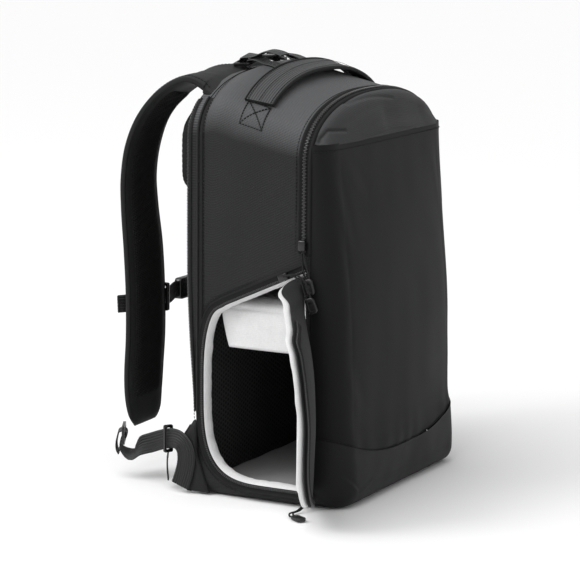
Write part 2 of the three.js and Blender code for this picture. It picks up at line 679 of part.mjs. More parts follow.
// The door's half of the zip, along the flap's free edge on its outer face
function doorFlapZip() {
  const edge = doorOutline(FLAP_EDGE_CLEARANCE + 0.3);
  const within = doorOutline(FLAP_EDGE_CLEARANCE + 0.3 + FLAP_ZIP_WIDTH);
  const lowTwist = THREE.MathUtils.lerp(DOOR_BOTTOM_Z, DOOR_FRONT_TOP_Z, 0.84);
  const rings = [];
  for (let i = 1; i < edge.length - 1; i++) {
    const [a, b] = [edge[i], within[i]];
    if (a.z > lowTwist) continue;
    const corner = (p, out) => flapPoint(p.y - DOOR_FRONT_Y, p.z, out);
    const [low, high] = [2 * GAP, 2 * GAP + RIM_ZIP_THICKNESS];
    rings.push([corner(a, low), corner(a, high), corner(b, high), corner(b, low)]);
  }
  return loft(rings);
}

// The body's half of the zip, round the opening from the bottom of the hinge to the slider
function doorRimZip() {
  const edge = doorOutline(-0.4);
  const outside = doorOutline(-0.4 - RIM_ZIP_WIDTH);
  const rings = edge.slice(0, -1).map((a, i) => {
    const b = outside[i];
    const [low, high] = [SIDE_X - GAP, SIDE_X - GAP - RIM_ZIP_THICKNESS];
    return [at(low, a.y, a.z), at(high, a.y, a.z), at(high, b.y, b.z), at(low, b.y, b.z)];
  });
  return loft(rings);
}

// A flat band swept through frames with a place, a side and, where wanted, a width
function band(frames, width, thickness) {
  return loft(frames.map(({ place, side, wide = width }, i) => {
    const before = frames[Math.max(i - 1, 0)].place;
    const after = frames[Math.min(i + 1, frames.length - 1)].place;
    const run = after.clone().sub(before).normalize();
    const across = side.clone().addScaledVector(run, -side.dot(run)).normalize();
    const out = across.clone().cross(run);
    const corner = (a, b) => place.clone().addScaledVector(across, a).addScaledVector(out, b);
    const [half, deep] = [wide / 2, thickness / 2];
    return [corner(-half, -deep), corner(half, -deep), corner(half, deep), corner(-half, deep)];
  }));
}

// Grab handle: webbing that leaves the shoulders and rises over the crown
function handleFrames() {
  const steps = 32;
  const slope = (crownAt(HANDLE_Y + 10) - crownAt(HANDLE_Y - 10)) / 20;
  const side = at(0, 1, slope).normalize();
  return Array.from({ length: steps + 1 }, (_, i) => {
    const x = THREE.MathUtils.lerp(-HANDLE_HALF_LENGTH, HANDLE_HALF_LENGTH, i / steps);
    const share = 1 - Math.abs(x / HANDLE_HALF_LENGTH) ** 2.2;
    const seat = GAP + 1 + HANDLE_THICKNESS / 2;
    const z = crownAt(HANDLE_Y) - archDrop(x) + seat + HANDLE_LIFT * share;
    return { place: at(x, HANDLE_Y, z), side };
  });
}

const grabHandle = () => band(handleFrames(), HANDLE_WIDTH, HANDLE_THICKNESS);

// Shoulder strap on the near side: sections of a padded band with rounded edges
function strapFrames() {
  const rows = smoothRows(STRAP_ROWS, 2);
  const places = rows.map((row) =>
    at(-row.out * BODY_HALF_WIDTH, BACK_SEAM_Y + row.back * STRAP_REACH, row.up * BODY_HEIGHT));
  return rows.map((row, i) => {
    const run = places[Math.min(i + 1, rows.length - 1)].clone().sub(places[Math.max(i - 1, 0)]).normalize();
    const lean = THREE.MathUtils.degToRad(row.lean);
    const turn = THREE.MathUtils.degToRad(row.turn);
    const side = at(Math.cos(lean) * Math.cos(turn), -Math.sin(turn), Math.sin(lean));
    side.addScaledVector(run, -side.dot(run)).normalize();
    return { ...row, place: places[i], side, out: side.clone().cross(run) };
  });
}

function strapSolid(grow = 0) {
  return loft(strapFrames().map(({ place, side, out, wide, thick }) => {
    const half = (wide * STRAP_WIDTH) / 2 + grow;
    const deep = thick * STRAP_THICKNESS + grow;
    const [thin, round, brim] = [0.6 * deep, 0.8 * half, 0.12 * deep];
    const section = [
      [-half, -thin], [-round, -deep], [round, -deep], [half, -thin],
      [half, -brim], [round, grow], [-round, grow], [-half, -brim],
    ];
    return section.map(([a, b]) => place.clone().addScaledVector(side, a).addScaledVector(out, b));
  }));
}

function strapMesh() {
  const frames = strapFrames().slice(6, -4);
  return loft(frames.map(({ place, side, out, wide, thick }) => {
    const half = (wide * STRAP_WIDTH) / 2 - STRAP_MESH_MARGIN;
    const low = -thick * STRAP_THICKNESS - GAP;
    const section = [[-half, low], [half, low], [half - 1, low - STRAP_MESH], [-half + 1, low - STRAP_MESH]];
    return section.map(([a, b]) => place.clone().addScaledVector(side, a).addScaledVector(out, b));
  }));
}

function roundedShape(width, height, radius) {
  const [w, h] = [width / 2, height / 2];
  const shape = new THREE.Shape();
  shape.moveTo(-w + radius, -h).lineTo(w - radius, -h).quadraticCurveTo(w, -h, w, -h + radius);
  shape.lineTo(w, h - radius).quadraticCurveTo(w, h, w - radius, h);
  shape.lineTo(-w + radius, h).quadraticCurveTo(-w, h, -w, h - radius);
  shape.lineTo(-w, -h + radius).quadraticCurveTo(-w, -h, -w + radius, -h);
  return shape;
}

// A flat moulded piece about its own middle, with slots given as centre height and size
function plate(width, height, thickness, radius, slots = []) {
  const shape = roundedShape(width, height, radius);
  for (const slot of slots) {
    const hole = roundedShape(slot.width, slot.height, Math.min(radius, slot.height / 3));
    const points = hole.getPoints(2).map((p) => p.add(new THREE.Vector2(0, slot.y)));
    shape.holes.push(new THREE.Path(points));
  }
  const geometry = new THREE.ExtrudeGeometry(shape, { depth: thickness, bevelEnabled: false, curveSegments: 3 });
  return geometry.translate(0, 0, -thickness / 2);
}

// Ladder lock: a frame with a bar across its middle
function ladderLock(webWidth) {
  const slotHeight = (LOCK_LENGTH - 3 * LOCK_BAR) / 2;
  const y = (LOCK_BAR + slotHeight) / 2;
  const slot = { width: webWidth + 2, height: slotHeight };
  const slots = [{ ...slot, y }, { ...slot, y: -y }];
  return plate(webWidth + 2 + 2 * LOCK_SIDE, LOCK_LENGTH, LOCK_THICKNESS, 2, slots);
}

// The route of webbing round the lock's middle bar, in the lock's own frame: along it and above it
function lockRoute() {
  const over = LOCK_THICKNESS / 2 + WEB_THICKNESS / 2 + 2 * GAP;
  const slot = (LOCK_LENGTH - LOCK_BAR) / 4;
  const fold = over + 1.7 * WEB_THICKNESS;
  return [
    [-LOCK_LENGTH / 2 - 4, over], [-slot - 3, over], [-slot - 1, 0.75 * over], [0.2 - slot, 0],
    [-0.68 * slot, -0.76 * over], [-LOCK_BAR / 2, -over], [LOCK_BAR / 2, -over], [0.68 * slot, -0.76 * over],
    [slot - 0.2, 0], [slot - 0.4, 0.9 * over], [0.6 * slot, fold - 0.8], [0, fold],
  ];
}

const routeThrough = (matrix) => lockRoute().map(([y, z]) => at(0, y, z).applyMatrix4(matrix));

// Height of the lifter's lock: clear of the strap's root below it
function strapTopAt() {
  const root = STRAP_ROWS[0];
  const inwards = (root.out - LIFTER_LOCK.out) * BODY_HALF_WIDTH;
  const rise = inwards * Math.tan(THREE.MathUtils.degToRad(root.lean));
  return root.up * BODY_HEIGHT + rise + LIFTER_LOCK.clearance + LOCK_THICKNESS;
}

// Place and turn of a ladder lock: x is its width, y runs along the webbing and z is its outer side
function lockMatrix({ x, y, z }, turnX, turnY, turnZ) {
  const turn = new THREE.Euler(turnX, turnY, turnZ, "ZYX");
  const matrix = new THREE.Matrix4().makeRotationFromEuler(turn);
  return matrix.setPosition(x, y, z);
}

const radians = THREE.MathUtils.degToRad;
const lifterPlace = at(-LIFTER_LOCK.out * BODY_HALF_WIDTH, BACK_SEAM_Y + LIFTER_LOCK.back, strapTopAt());
const lifterMatrix = lockMatrix(lifterPlace, radians(-4), radians(-LIFTER_LOCK.lean), 0);
const lowerMatrix = lockMatrix(LOWER_LOCK, radians(90), 0, radians(LOWER_LOCK.turn + 180));

const placed = (geometry, matrix) => geometry.applyMatrix4(matrix);

function framesAlong(points, side, steps) {
  const curve = new THREE.CatmullRomCurve3(points, false, "centripetal");
  return curve.getPoints(steps).map((place) => ({ place, side: side.clone() }));
}

// Frames on a smooth curve through a few stations, with the side turning evenly between them
function easedFrames(stations, steps) {
  const curve = new THREE.CatmullRomCurve3(stations.map(({ place }) => place), false, "centripetal");
  const spans = stations.length - 1;
  return Array.from({ length: spans * steps + 1 }, (_, i) => {
    const row = Math.min(Math.floor(i / steps), spans - 1);
    const side = stations[row].side.clone().lerp(stations[row + 1].side, i / steps - row);
    return { place: curve.getPoint(i / (spans * steps)), side };
  });
}

// Load lifter's webbing: sewn to the crown, back to the lock, round its bar, and forward again as a raised tail
function lifterWeb(tailRise) {
  const { x } = lifterPlace;
  const onCrown = (y, lift) => at(x, y, crownAt(y) - archDrop(x) + lift);
  const seat = GAP + WEB_THICKNESS / 2 + 0.2;
  const start = [onCrown(54, seat), onCrown(61, seat), onCrown(68, seat + 0.3)];
  const end = [
    onCrown(80, tailRise * 0.15 + 9.2), onCrown(66, tailRise * 0.75 + 2), onCrown(54, tailRise), onCrown(48, tailRise),
  ];
  const lean = radians(LIFTER_LOCK.lean / 3);
  const side = at(Math.cos(lean), 0, Math.sin(lean));
  const lockSide = at(1, 0, 0).transformDirection(lifterMatrix);
  const loose = (place) => ({ place, side });
  const held = routeThrough(lifterMatrix).map((place) => ({ place, side: lockSide }));
  return band([...start.map(loose), ...held, ...end.map(loose)], LIFTER_WEB_WIDTH, WEB_THICKNESS);
}

// Lower webbing: from the lock it runs as an upright band to a hump behind the wing and down to the base
function lowerWeb() {
  const lockSide = at(1, 0, 0).transformDirection(lowerMatrix);
  const [x, y] = [SIDE_X - 5.9, BACK_SEAM_Y];
  const stations = [
    { place: at(x, y + 17, 7), side: at(0, 0.95, 0.3) },
    { place: at(x, y + 12.3, 21), side: at(0, 0.97, 0.2) },
    { place: at(x, y + 10, 34), side: at(0, 1, 0) },
    { place: at(x, y + 11.5, 45), side: at(0, 0.94, -0.34) },
    { place: at(x, y + 17, 52), side: at(0, 0.6, -0.8) },
    { place: at(x + 3, y + 25.5, 53.5), side: at(0, 0.1, -1) },
    { place: at(x + 9, y + 36, 51), side: at(0, 0, -1) },
    { place: at(x + 15, y + 48, 47), side: at(0, 0, -1) },
    { place: at(x + 21, y + 63, 41), side: at(0, 0, -1) },
    { place: at(x + 26, y + 78, 35), side: at(-0.25, 0, -0.95) },
    { place: at(x + 28.5, y + 90, 25), side: at(-0.8, -0.3, -0.4) },
  ];
  const hanging = [at(0, -9, 7.5), at(0, -16, 7), at(0, -20, 5)].map((p) => p.applyMatrix4(lowerMatrix));
  const rest = [...routeThrough(lowerMatrix), ...hanging].map((place) => ({ place, side: lockSide }));
  return band([...easedFrames(stations, 2), ...rest], LOWER_WEB_WIDTH, WEB_THICKNESS);
}

// Tri-glide: a frame round the upright stretch of the lower webbing
function triGlide() {
  const slot = { y: 0, width: 5.4, height: LOWER_WEB_WIDTH + 2.4 };
  const frame = plate(10, LOWER_WEB_WIDTH + 8, LOCK_THICKNESS, 2, [slot]);
  const turn = lockMatrix(at(SIDE_X + 3.1, BACK_SEAM_Y + 36, 51), radians(90), 0, radians(-30));
  return placed(frame, turn);
}

// The loose tail that hangs from the tri-glide
function lowerTail() {
  const side = at(0.85, 0.5, 0);
  const [x, y] = [SIDE_X + 3.1, BACK_SEAM_Y + 36];
  const points = [at(x, y, 36.2), at(x + 1, y + 1.5, 29), at(x + 2, y + 2, 19), at(x + 2, y + 1, 9)];
  return band(framesAlong(points, side, 8), LOWER_WEB_WIDTH * 0.9, WEB_THICKNESS);
}

// Wing: the gusset at the foot of the side that the lower webbing is sewn into
function wing() {
  const back = BACK_SEAM_Y + WING_REACH;
  const outline = [
    [BACK_SEAM_Y - 14, 2], [BACK_SEAM_Y + 10, 2], [back - 2, 14], [back, 34], [back - 3, 58],
    [BACK_SEAM_Y + 3, WING_TOP_Z], [BACK_SEAM_Y, WING_TOP_Z - 4], [BACK_SEAM_Y, 40],
  ];
  const inner = SIDE_X - GAP;
  return loft([inner, inner - WING_THICKNESS].map((x) => outline.map(([y, z]) => at(x, y, z))));
}

// Sternum strap: webbing from a keeper on each shoulder strap to a buckle in the middle
const STERNUM = { z: 178, rise: 4, halfBuckle: 28, gap: 0.8 };

// A place on the near strap at a height: across it from its middle, as a share of half its width, and outwards
function onStrap(z, across, out) {
  const frames = strapFrames();
  const next = frames.findIndex((frame, i) => i > frames.length / 4 && frame.place.z < z);
  const [a, b] = [frames[next - 1], frames[next]];
  const share = (a.place.z - z) / (a.place.z - b.place.z);
  const half = (THREE.MathUtils.lerp(a.wide, b.wide, share) * STRAP_WIDTH) / 2;
  const place = a.place.clone().lerp(b.place, share);
  return place.addScaledVector(a.side, half * across).addScaledVector(a.out, out);
}

const sternumStart = onStrap(STERNUM.z, 1, -STRAP_THICKNESS / 2);
const keeperDepth = 4;

function sternumWeb() {
  const { x, y, z } = sternumStart;
  const inner = -STERNUM.halfBuckle - STERNUM.gap;
  const middleZ = z + STERNUM.rise;
  const points = [
    at(x + keeperDepth, y, z), at(x + 3 * keeperDepth, y, z + 1), at(inner - 6, y, middleZ), at(inner, y, middleZ),
  ];
  return band(framesAlong(points, at(0, 0, -1), 6), STERNUM_WEB_WIDTH, WEB_THICKNESS);
}

function sternumKeeper() {
  const slots = [{ y: 0, width: STERNUM_WEB_WIDTH + 5, height: 3 }];
  const loop = plate(STERNUM_WEB_WIDTH + 11, 9, keeperDepth, 2, slots);
  const { x, y, z } = sternumStart;
  const turn = new THREE.Matrix4().makeBasis(at(0, 0, 1), at(0, 1, 0), at(-1, 0, 0));
  return placed(loop, turn.setPosition(x + keeperDepth / 2 + STERNUM.gap, y, z));
}

function sternumBuckle() {
  const body = plate(2 * STERNUM.halfBuckle, STERNUM_WEB_WIDTH + 4, 8, 4);
  const { y, z } = sternumStart;
  return placed(body, lockMatrix(at(0, y, z + STERNUM.rise), radians(90), 0, 0));
}

// The keeper's webbing, laid over the strap's outer face and standing off it at the outer edge
function sternumLoop() {
  const stand = GAP + 0.2 + WEB_THICKNESS / 2;
  const rows = [[0.97, 0], [0.6, 0.3], [0, 0.3], [-0.5, 1.5], [-0.8, 5], [-0.93, 7.5], [-0.99, 7]];
  const points = rows.map(([across, lift]) => onStrap(STERNUM.z, across, stand + lift));
  return band(points.map((place) => ({ place, side: at(0, 0.05, 1) })), STERNUM_WEB_WIDTH, WEB_THICKNESS);
}

// A slider: a small moulded body that stands on its zip, its length along the zip
const sliderBody = () => plate(5, 11, 7, 2);

// Pull: a loop of cord along a path from its slider, moulded into a framed grip at the far end
const GRIP = { width: 9.5, length: 15.5, thickness: 3.2 };
const CORD_RADIUS = 0.9;

function zipPull(path, side) {
  const end = path.at(-1);
  const run = end.clone().sub(path.at(-2)).normalize();
  const across = side.clone().addScaledVector(run, -side.dot(run)).normalize();
  const out = across.clone().cross(run);
  const grip = plate(GRIP.width, GRIP.length, GRIP.thickness, 2.5, [{ y: 0.8, width: 4.6, height: 7 }]);
  const middle = end.clone().addScaledVector(run, GRIP.length / 2);
  grip.applyMatrix4(new THREE.Matrix4().makeBasis(across, run, out).setPosition(middle));
  const spread = 2.3;
  const beside = (place, way) => place.clone().addScaledVector(across, way * spread);
  const inGrip = end.clone().addScaledVector(run, 1.5);
  const down = [...path.slice(1), inGrip];
  const back = [...down].reverse().map((place) => beside(place, -1));
  const bend = [-0.35, 0, 0.35].map((way) => beside(path[0], way));
  const loop = [...back, ...bend, ...down.map((place) => beside(place, 1))];
  const route = new THREE.CatmullRomCurve3(loop, false, "centripetal");
  const section = new THREE.Shape().absarc(0, 0, CORD_RADIUS, 0, 2 * Math.PI);
  const cord = new THREE.ExtrudeGeometry(section, { steps: 26, extrudePath: route, curveSegments: 3 });
  return join(grip, cord);
}

const hardware = { color: 0x101011, roughness: 0.35 };
const webbing = { color: 0x17181a, roughness: 0.85 };
const ripstop = { color: 0x303134, roughness: 0.9 };
const coated = { color: 0x1c1d20, roughness: 0.6 };
const zipTape = { color: 0x131314, roughness: 0.7 };
const airMesh = { color: 0x0e0e0f, roughness: 0.95 };
const liningLook = { color: 0xb9bbbd, roughness: 0.95 };

const backpack = new THREE.Group();

function add(name, geometry, look) {
  const mesh = new THREE.Mesh(geometry, new THREE.MeshStandardMaterial({ metalness: 0, ...look }));
  mesh.name = name;
  backpack.add(mesh);
  return mesh;
}

// A piece of the near side and its mirror image on the far side
function addPair(name, geometry, look) {
  add("near_" + name, geometry, look);
  add("far_" + name, mirrored(geometry), look);
}

add("body_shell", bodyShell(), ripstop);
add("body_lining", bodyLining(), liningLook);
add("bay_divider", bayDivider(), liningLook);
add("front_pocket", frontPocket(), coated);
add("pocket_hood", pocketHood(), ripstop);
add("base_panel", basePanel(), coated);
add("front_zip", frontZip(), zipTape);
add("back_panel", backPanel(), ripstop);
add("upper_back_pad", backPad(UPPER_PAD), airMesh);
add("lower_back_pad", backPad(LOWER_PAD), airMesh);
addPair("back_piping", mirrored(backPiping()), ripstop);
addPair("back_zip", mirrored(backZip()), zipTape);
add("door_flap", doorFlap(), ripstop);
add("door_pad", doorPad(), liningLook);
add("door_flap_zip", doorFlapZip(), zipTape);
add("door_rim_zip", doorRimZip(), zipTape);
add("grab_handle", grabHandle(), webbing);
addPair("shoulder_strap", strapSolid(), ripstop);
addPair("strap_mesh", strapMesh(), airMesh);
addPair("wing", wing(), ripstop);
addPair("lower_buckle", placed(ladderLock(LOWER_WEB_WIDTH), lowerMatrix), hardware);
addPair("lower_web", lowerWeb(), webbing);
addPair("lower_tail", lowerTail(), webbing);
addPair("tri_glide", triGlide(), hardware);
addPair("lifter_buckle", placed(ladderLock(LIFTER_WEB_WIDTH), lifterMatrix), hardware);
add("near_lifter_web", lifterWeb(15), webbing);
add("far_lifter_web", mirrored(lifterWeb(4)), webbing);
addPair("sternum_keeper", sternumKeeper(), hardware);
addPair("sternum_web", sternumWeb(), webbing);
addPair("sternum_loop", sternumLoop(), webbing);
add("sternum_buckle", sternumBuckle(), hardware);

// Sliders on the side, each placed by its own position and its turn along its zip
const SLIDER_X = SIDE_X - GAP - ZIP_TAPE - 2.9;

function addSlider(name, y, z, turn) {
  const mesh = add(name, sliderBody().rotateX(Math.PI / 2), hardware);
  mesh.position.set(SLIDER_X, y, z);
  mesh.rotation.set(turn, 0, 0);
}

addSlider("front_zip_slider", -32, 259, 0);
addSlider("door_top_slider", -12, 226.5, radians(65.5));
addSlider("door_bottom_slider", -40.5, 10.5, radians(12));

const sideways = at(0, 1, 0);
const hangingPull = zipPull([
  at(SLIDER_X, -32.6, 252), at(SLIDER_X, -34.5, 240), at(SLIDER_X, -38, 227),
], sideways);
const foldedPull = zipPull([
  at(SLIDER_X - 3.8, -14.6, 228.6), at(SLIDER_X - 4, -26, 230.5), at(SLIDER_X - 4.2, -36, 224),
  at(SLIDER_X - 4, -38.8, 216), at(SLIDER_X - 4, -41.6, 209.5),
], sideways);
const lyingPull = zipPull([
  at(SLIDER_X - 3.8, -40.5, 8), at(SLIDER_X - 13, -38, 2.8), at(SLIDER_X - 24, -36, 2.3),
  at(SLIDER_X - 33, -41, 2.3), at(SLIDER_X - 34.6, -44, 2.3),
], at(-0.88, -0.47, 0));
add("front_zip_pull", hangingPull, hardware);
add("door_top_pull", foldedPull, hardware);
add("door_bottom_pull", lyingPull, hardware);

export default backpack;
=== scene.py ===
import math

import bmesh
import bpy
import numpy as np
from mathutils import Euler, Matrix, Vector


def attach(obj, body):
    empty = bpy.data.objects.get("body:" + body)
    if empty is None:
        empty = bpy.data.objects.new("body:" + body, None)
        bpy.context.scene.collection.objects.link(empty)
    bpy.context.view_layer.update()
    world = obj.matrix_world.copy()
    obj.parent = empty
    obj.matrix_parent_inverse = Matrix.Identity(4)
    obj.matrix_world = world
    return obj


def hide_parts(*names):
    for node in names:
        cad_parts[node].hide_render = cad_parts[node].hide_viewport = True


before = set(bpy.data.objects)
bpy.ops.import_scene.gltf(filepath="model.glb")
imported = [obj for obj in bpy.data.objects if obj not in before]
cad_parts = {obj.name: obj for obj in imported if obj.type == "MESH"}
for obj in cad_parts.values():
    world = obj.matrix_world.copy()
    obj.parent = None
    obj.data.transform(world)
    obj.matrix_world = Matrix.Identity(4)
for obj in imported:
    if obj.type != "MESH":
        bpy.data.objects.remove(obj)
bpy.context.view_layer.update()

MM = 0.001
sin, cos, pi, rad = math.sin, math.cos, math.pi, math.radians


# ---------------------------------------------------------------- camera
AZIMUTH, ELEVATION, ROLL = rad(-62), rad(10), rad(0.5)
CAMERA_PLACE = (-2.3069, -1.1716, 0.6479)
FOCAL_PIXELS, FRAME_PIXELS, SENSOR = 2600, 580, 36
back = Vector((sin(AZIMUTH) * cos(ELEVATION), -cos(AZIMUTH) * cos(ELEVATION), sin(ELEVATION)))
level = Vector((cos(AZIMUTH), sin(AZIMUTH), 0))
upward = back.cross(level)
across = cos(ROLL) * level + sin(ROLL) * upward
upright = -sin(ROLL) * level + cos(ROLL) * upward
camera = bpy.data.objects.new("camera", bpy.data.cameras.new("camera"))
camera.data.sensor_width = SENSOR
camera.data.lens = FOCAL_PIXELS * SENSOR / FRAME_PIXELS
turned = Matrix((across, upright, back)).transposed()
camera.matrix_world = Matrix.Translation(CAMERA_PLACE) @ turned.to_4x4()
bpy.context.scene.collection.objects.link(camera)
bpy.context.scene.camera = camera


# ---------------------------------------------------------------- sizes of the bag, in mm
HALF = 135
HEIGHT = 420
BACK_Y = 85
FRONT_Y = -39
DROP = 62
ARCH_POWER = 2.3
WALL = 10
GAP = 0.3
LINING_THICK = 1.4
LINING_FRONT_Y = -31.2
SIDE_X = -HALF
SIDES = ((1, "near"), (-1, "far"))
CROWN = [(0, 0.943), (0.435, 0.968), (0.677, 0.986), (0.863, 1), (1, 0.988)]
LIP_Z = 354
OUTLINE_STEPS = (60, 8, 84, 150)
HOOD_OUTLINE_STEPS = (60, 8, 84, 190)
ZIP_OUTLINE_STEPS = (60, 8, 84, 220)
STITCH_STEP, CLOSE_STITCH_STEP, BOX_STITCH_STEP = 3.6, 3.4, 3.2
BODY_STITCH, DOOR_STITCH, FRONT_STITCH = (2.5, 0.6, 0.5), (2.5, 0.55, 0.6), (2.6, 0.6, 0.5)
STRAP_STITCH, FLAP_STITCH = (2.5, 0.6, 0.6), (2.4, 0.5, 0.5)
HANDLE_STITCH, BOX_STITCH = (2.3, 0.5, 0.4), (2.4, 1.0, 0.9)
TOOTH_STEP, RIM_TOOTH, FLAP_TOOTH = 1.9, (1.15, 2.2, 1.3), (1.15, 2.3, 1.3)
COIL_STEP, COIL_BEAD = 1.7, (1.05, 3.2, 1.2)


def mix(a, b, share):
    return a + (b - a) * share


def spline(rows, x, key=1):
    """Value at x on a smooth curve through the rows"""
    xs = np.array([row[0] for row in rows], float)
    vs = np.array([row[key] for row in rows], float)
    x = np.clip(x, xs[0], xs[-1])
    i = np.clip(np.searchsorted(xs, x, "right") - 1, 0, len(xs) - 2)
    t = (x - xs[i]) / (xs[i + 1] - xs[i])
    a, b, c, d = vs[np.maximum(i - 1, 0)], vs[i], vs[i + 1], vs[np.minimum(i + 2, len(xs) - 1)]
    return (2 * b + (c - a) * t + (2 * a - 5 * b + 4 * c - d) * t**2 + (3 * b - a - 3 * c + d) * t**3) / 2


def unit(v):
    v = np.asarray(v, float)
    return v / np.maximum(np.linalg.norm(v, axis=-1, keepdims=True), 1e-9)


def dot(a, b):
    return np.sum(a * b, axis=-1, keepdims=True)


def crown_at(y):
    return HEIGHT * spline(CROWN, (np.asarray(y, float) - FRONT_Y) / (BACK_Y - FRONT_Y))


def arch_drop(x):
    side = np.minimum(np.abs(x) / HALF, 1)
    return DROP * (1 - (1 - side**ARCH_POWER) ** (1 / ARCH_POWER))


def outline(y, inset=0, corner=14, steps=OUTLINE_STEPS):
    """The body's outline across its width at depth y: rows of x, z and the outward normal (nx, nz)"""
    bottom, bend, side, arch = steps
    half = HALF - inset
    r = max(corner - inset, 2)
    spring = crown_at(y) - DROP
    rise = DROP - inset
    parts = [np.stack([np.linspace(-half + r, half - r, bottom + 1), np.full(bottom + 1, float(inset))], 1)]
    a = np.linspace(0, pi / 2, bend + 1)[1:]
    parts.append(np.stack([half - r + r * np.sin(a), inset + r * (1 - np.cos(a))], 1))
    parts.append(np.stack([np.full(side, half), np.linspace(inset + r, spring, side + 1)[1:]], 1))
    a = np.linspace(0, pi, arch + 1)[1:-1]
    power = 2 / ARCH_POWER
    x = half * np.sign(np.cos(a)) * np.abs(np.cos(a)) ** power
    parts.append(np.stack([x, spring + rise * np.sin(a) ** power], 1))
    parts.append(np.stack([np.full(side + 1, -half), np.linspace(spring, inset + r, side + 1)], 1))
    a = np.linspace(0, pi / 2, bend + 1)[1:-1]
    parts.append(np.stack([-half + r * (1 - np.cos(a)), inset + r * (1 - np.sin(a))], 1))
    p = np.concatenate(parts)
    run = np.roll(p, -1, 0) - np.roll(p, 1, 0)
    normal = unit(np.stack([run[:, 1], -run[:, 0]], 1))
    return np.concatenate([p, normal], 1)


def on_ring(ring, y, lift=0.0):
    """Places on an outline at depth y, lifted off the cloth"""
    x, z, nx, nz = ring.T
    return np.stack([x + nx * lift, np.full(len(ring), float(y)), z + nz * lift], 1)


def ring_outward(ring):
    return np.stack([ring[:, 2], 0 * ring[:, 2], ring[:, 3]], 1)


def on_side(line, x):
    """Places of a line of (y, z) at x"""
    return np.stack([np.full(len(line), x), line[:, 0], line[:, 1]], 1)


def circle(steps, radius=1.0):
    turn = np.linspace(0, 2 * pi, steps + 1)[:-1]
    return radius * np.stack([np.cos(turn), np.sin(turn)], 1)


def ripple(points, size, seed, share=(1, 1, 1)):
    """Smooth uneven field from -1 to 1 over the points, with swells of about the size in mm"""
    rng = np.random.default_rng(seed)
    total = np.zeros(points.shape[:-1])
    for _ in range(7):
        direction = unit(rng.normal(size=3)) * np.array(share)
        total += np.sin(points @ direction * (2 * pi / size) * rng.uniform(0.6, 1.5) + rng.uniform(0, 2 * pi))
    return total / 3.5


# ---------------------------------------------------------------- materials
def node(tree, kind, inputs=None, **settings):
    made = tree.nodes.new(kind)
    for key, value in settings.items():
        setattr(made, key, value)
    for key, value in (inputs or {}).items():
        if isinstance(value, bpy.types.NodeSocket):
            tree.links.new(value, made.inputs[key])
        else:
            made.inputs[key].default_value = value
    return made


def sums(tree, operation, a, b=0.0, clamp=False):
    return node(tree, "ShaderNodeMath", {0: a, 1: b}, operation=operation, use_clamp=clamp).outputs[0]


def grey(value, tint=0.0):
    return (value * (1 - tint), value, value * (1 + 1.6 * tint), 1)


def start_material(name):
    material = bpy.data.materials.new(name)
    material.use_nodes = True
    tree = material.node_tree
    tree.nodes.clear()
    shader = node(tree, "ShaderNodeBsdfPrincipled")
    output = node(tree, "ShaderNodeOutputMaterial")
    tree.links.new(shader.outputs[0], output.inputs[0])
    return material, tree, shader


def weave_height(tree, ribs, shares, slant=0.0):
    """Height of woven ribs, from -1 to 1: ribs are their periods in mm along u and v"""
    uv = node(tree, "ShaderNodeUVMap", uv_map="UVMap").outputs[0]
    split = node(tree, "ShaderNodeSeparateXYZ", {0: uv})
    u, v = split.outputs[0], split.outputs[1]
    if slant:
        u = sums(tree, "ADD", u, sums(tree, "MULTIPLY", v, slant))
    waves = []
    for along, period, share in ((u, ribs[0], shares[0]), (v, ribs[1], shares[1])):
        wave = sums(tree, "SINE", sums(tree, "MULTIPLY", along, 2 * pi / period))
        waves.append(sums(tree, "MULTIPLY", wave, share))
    return sums(tree, "ADD", *waves)


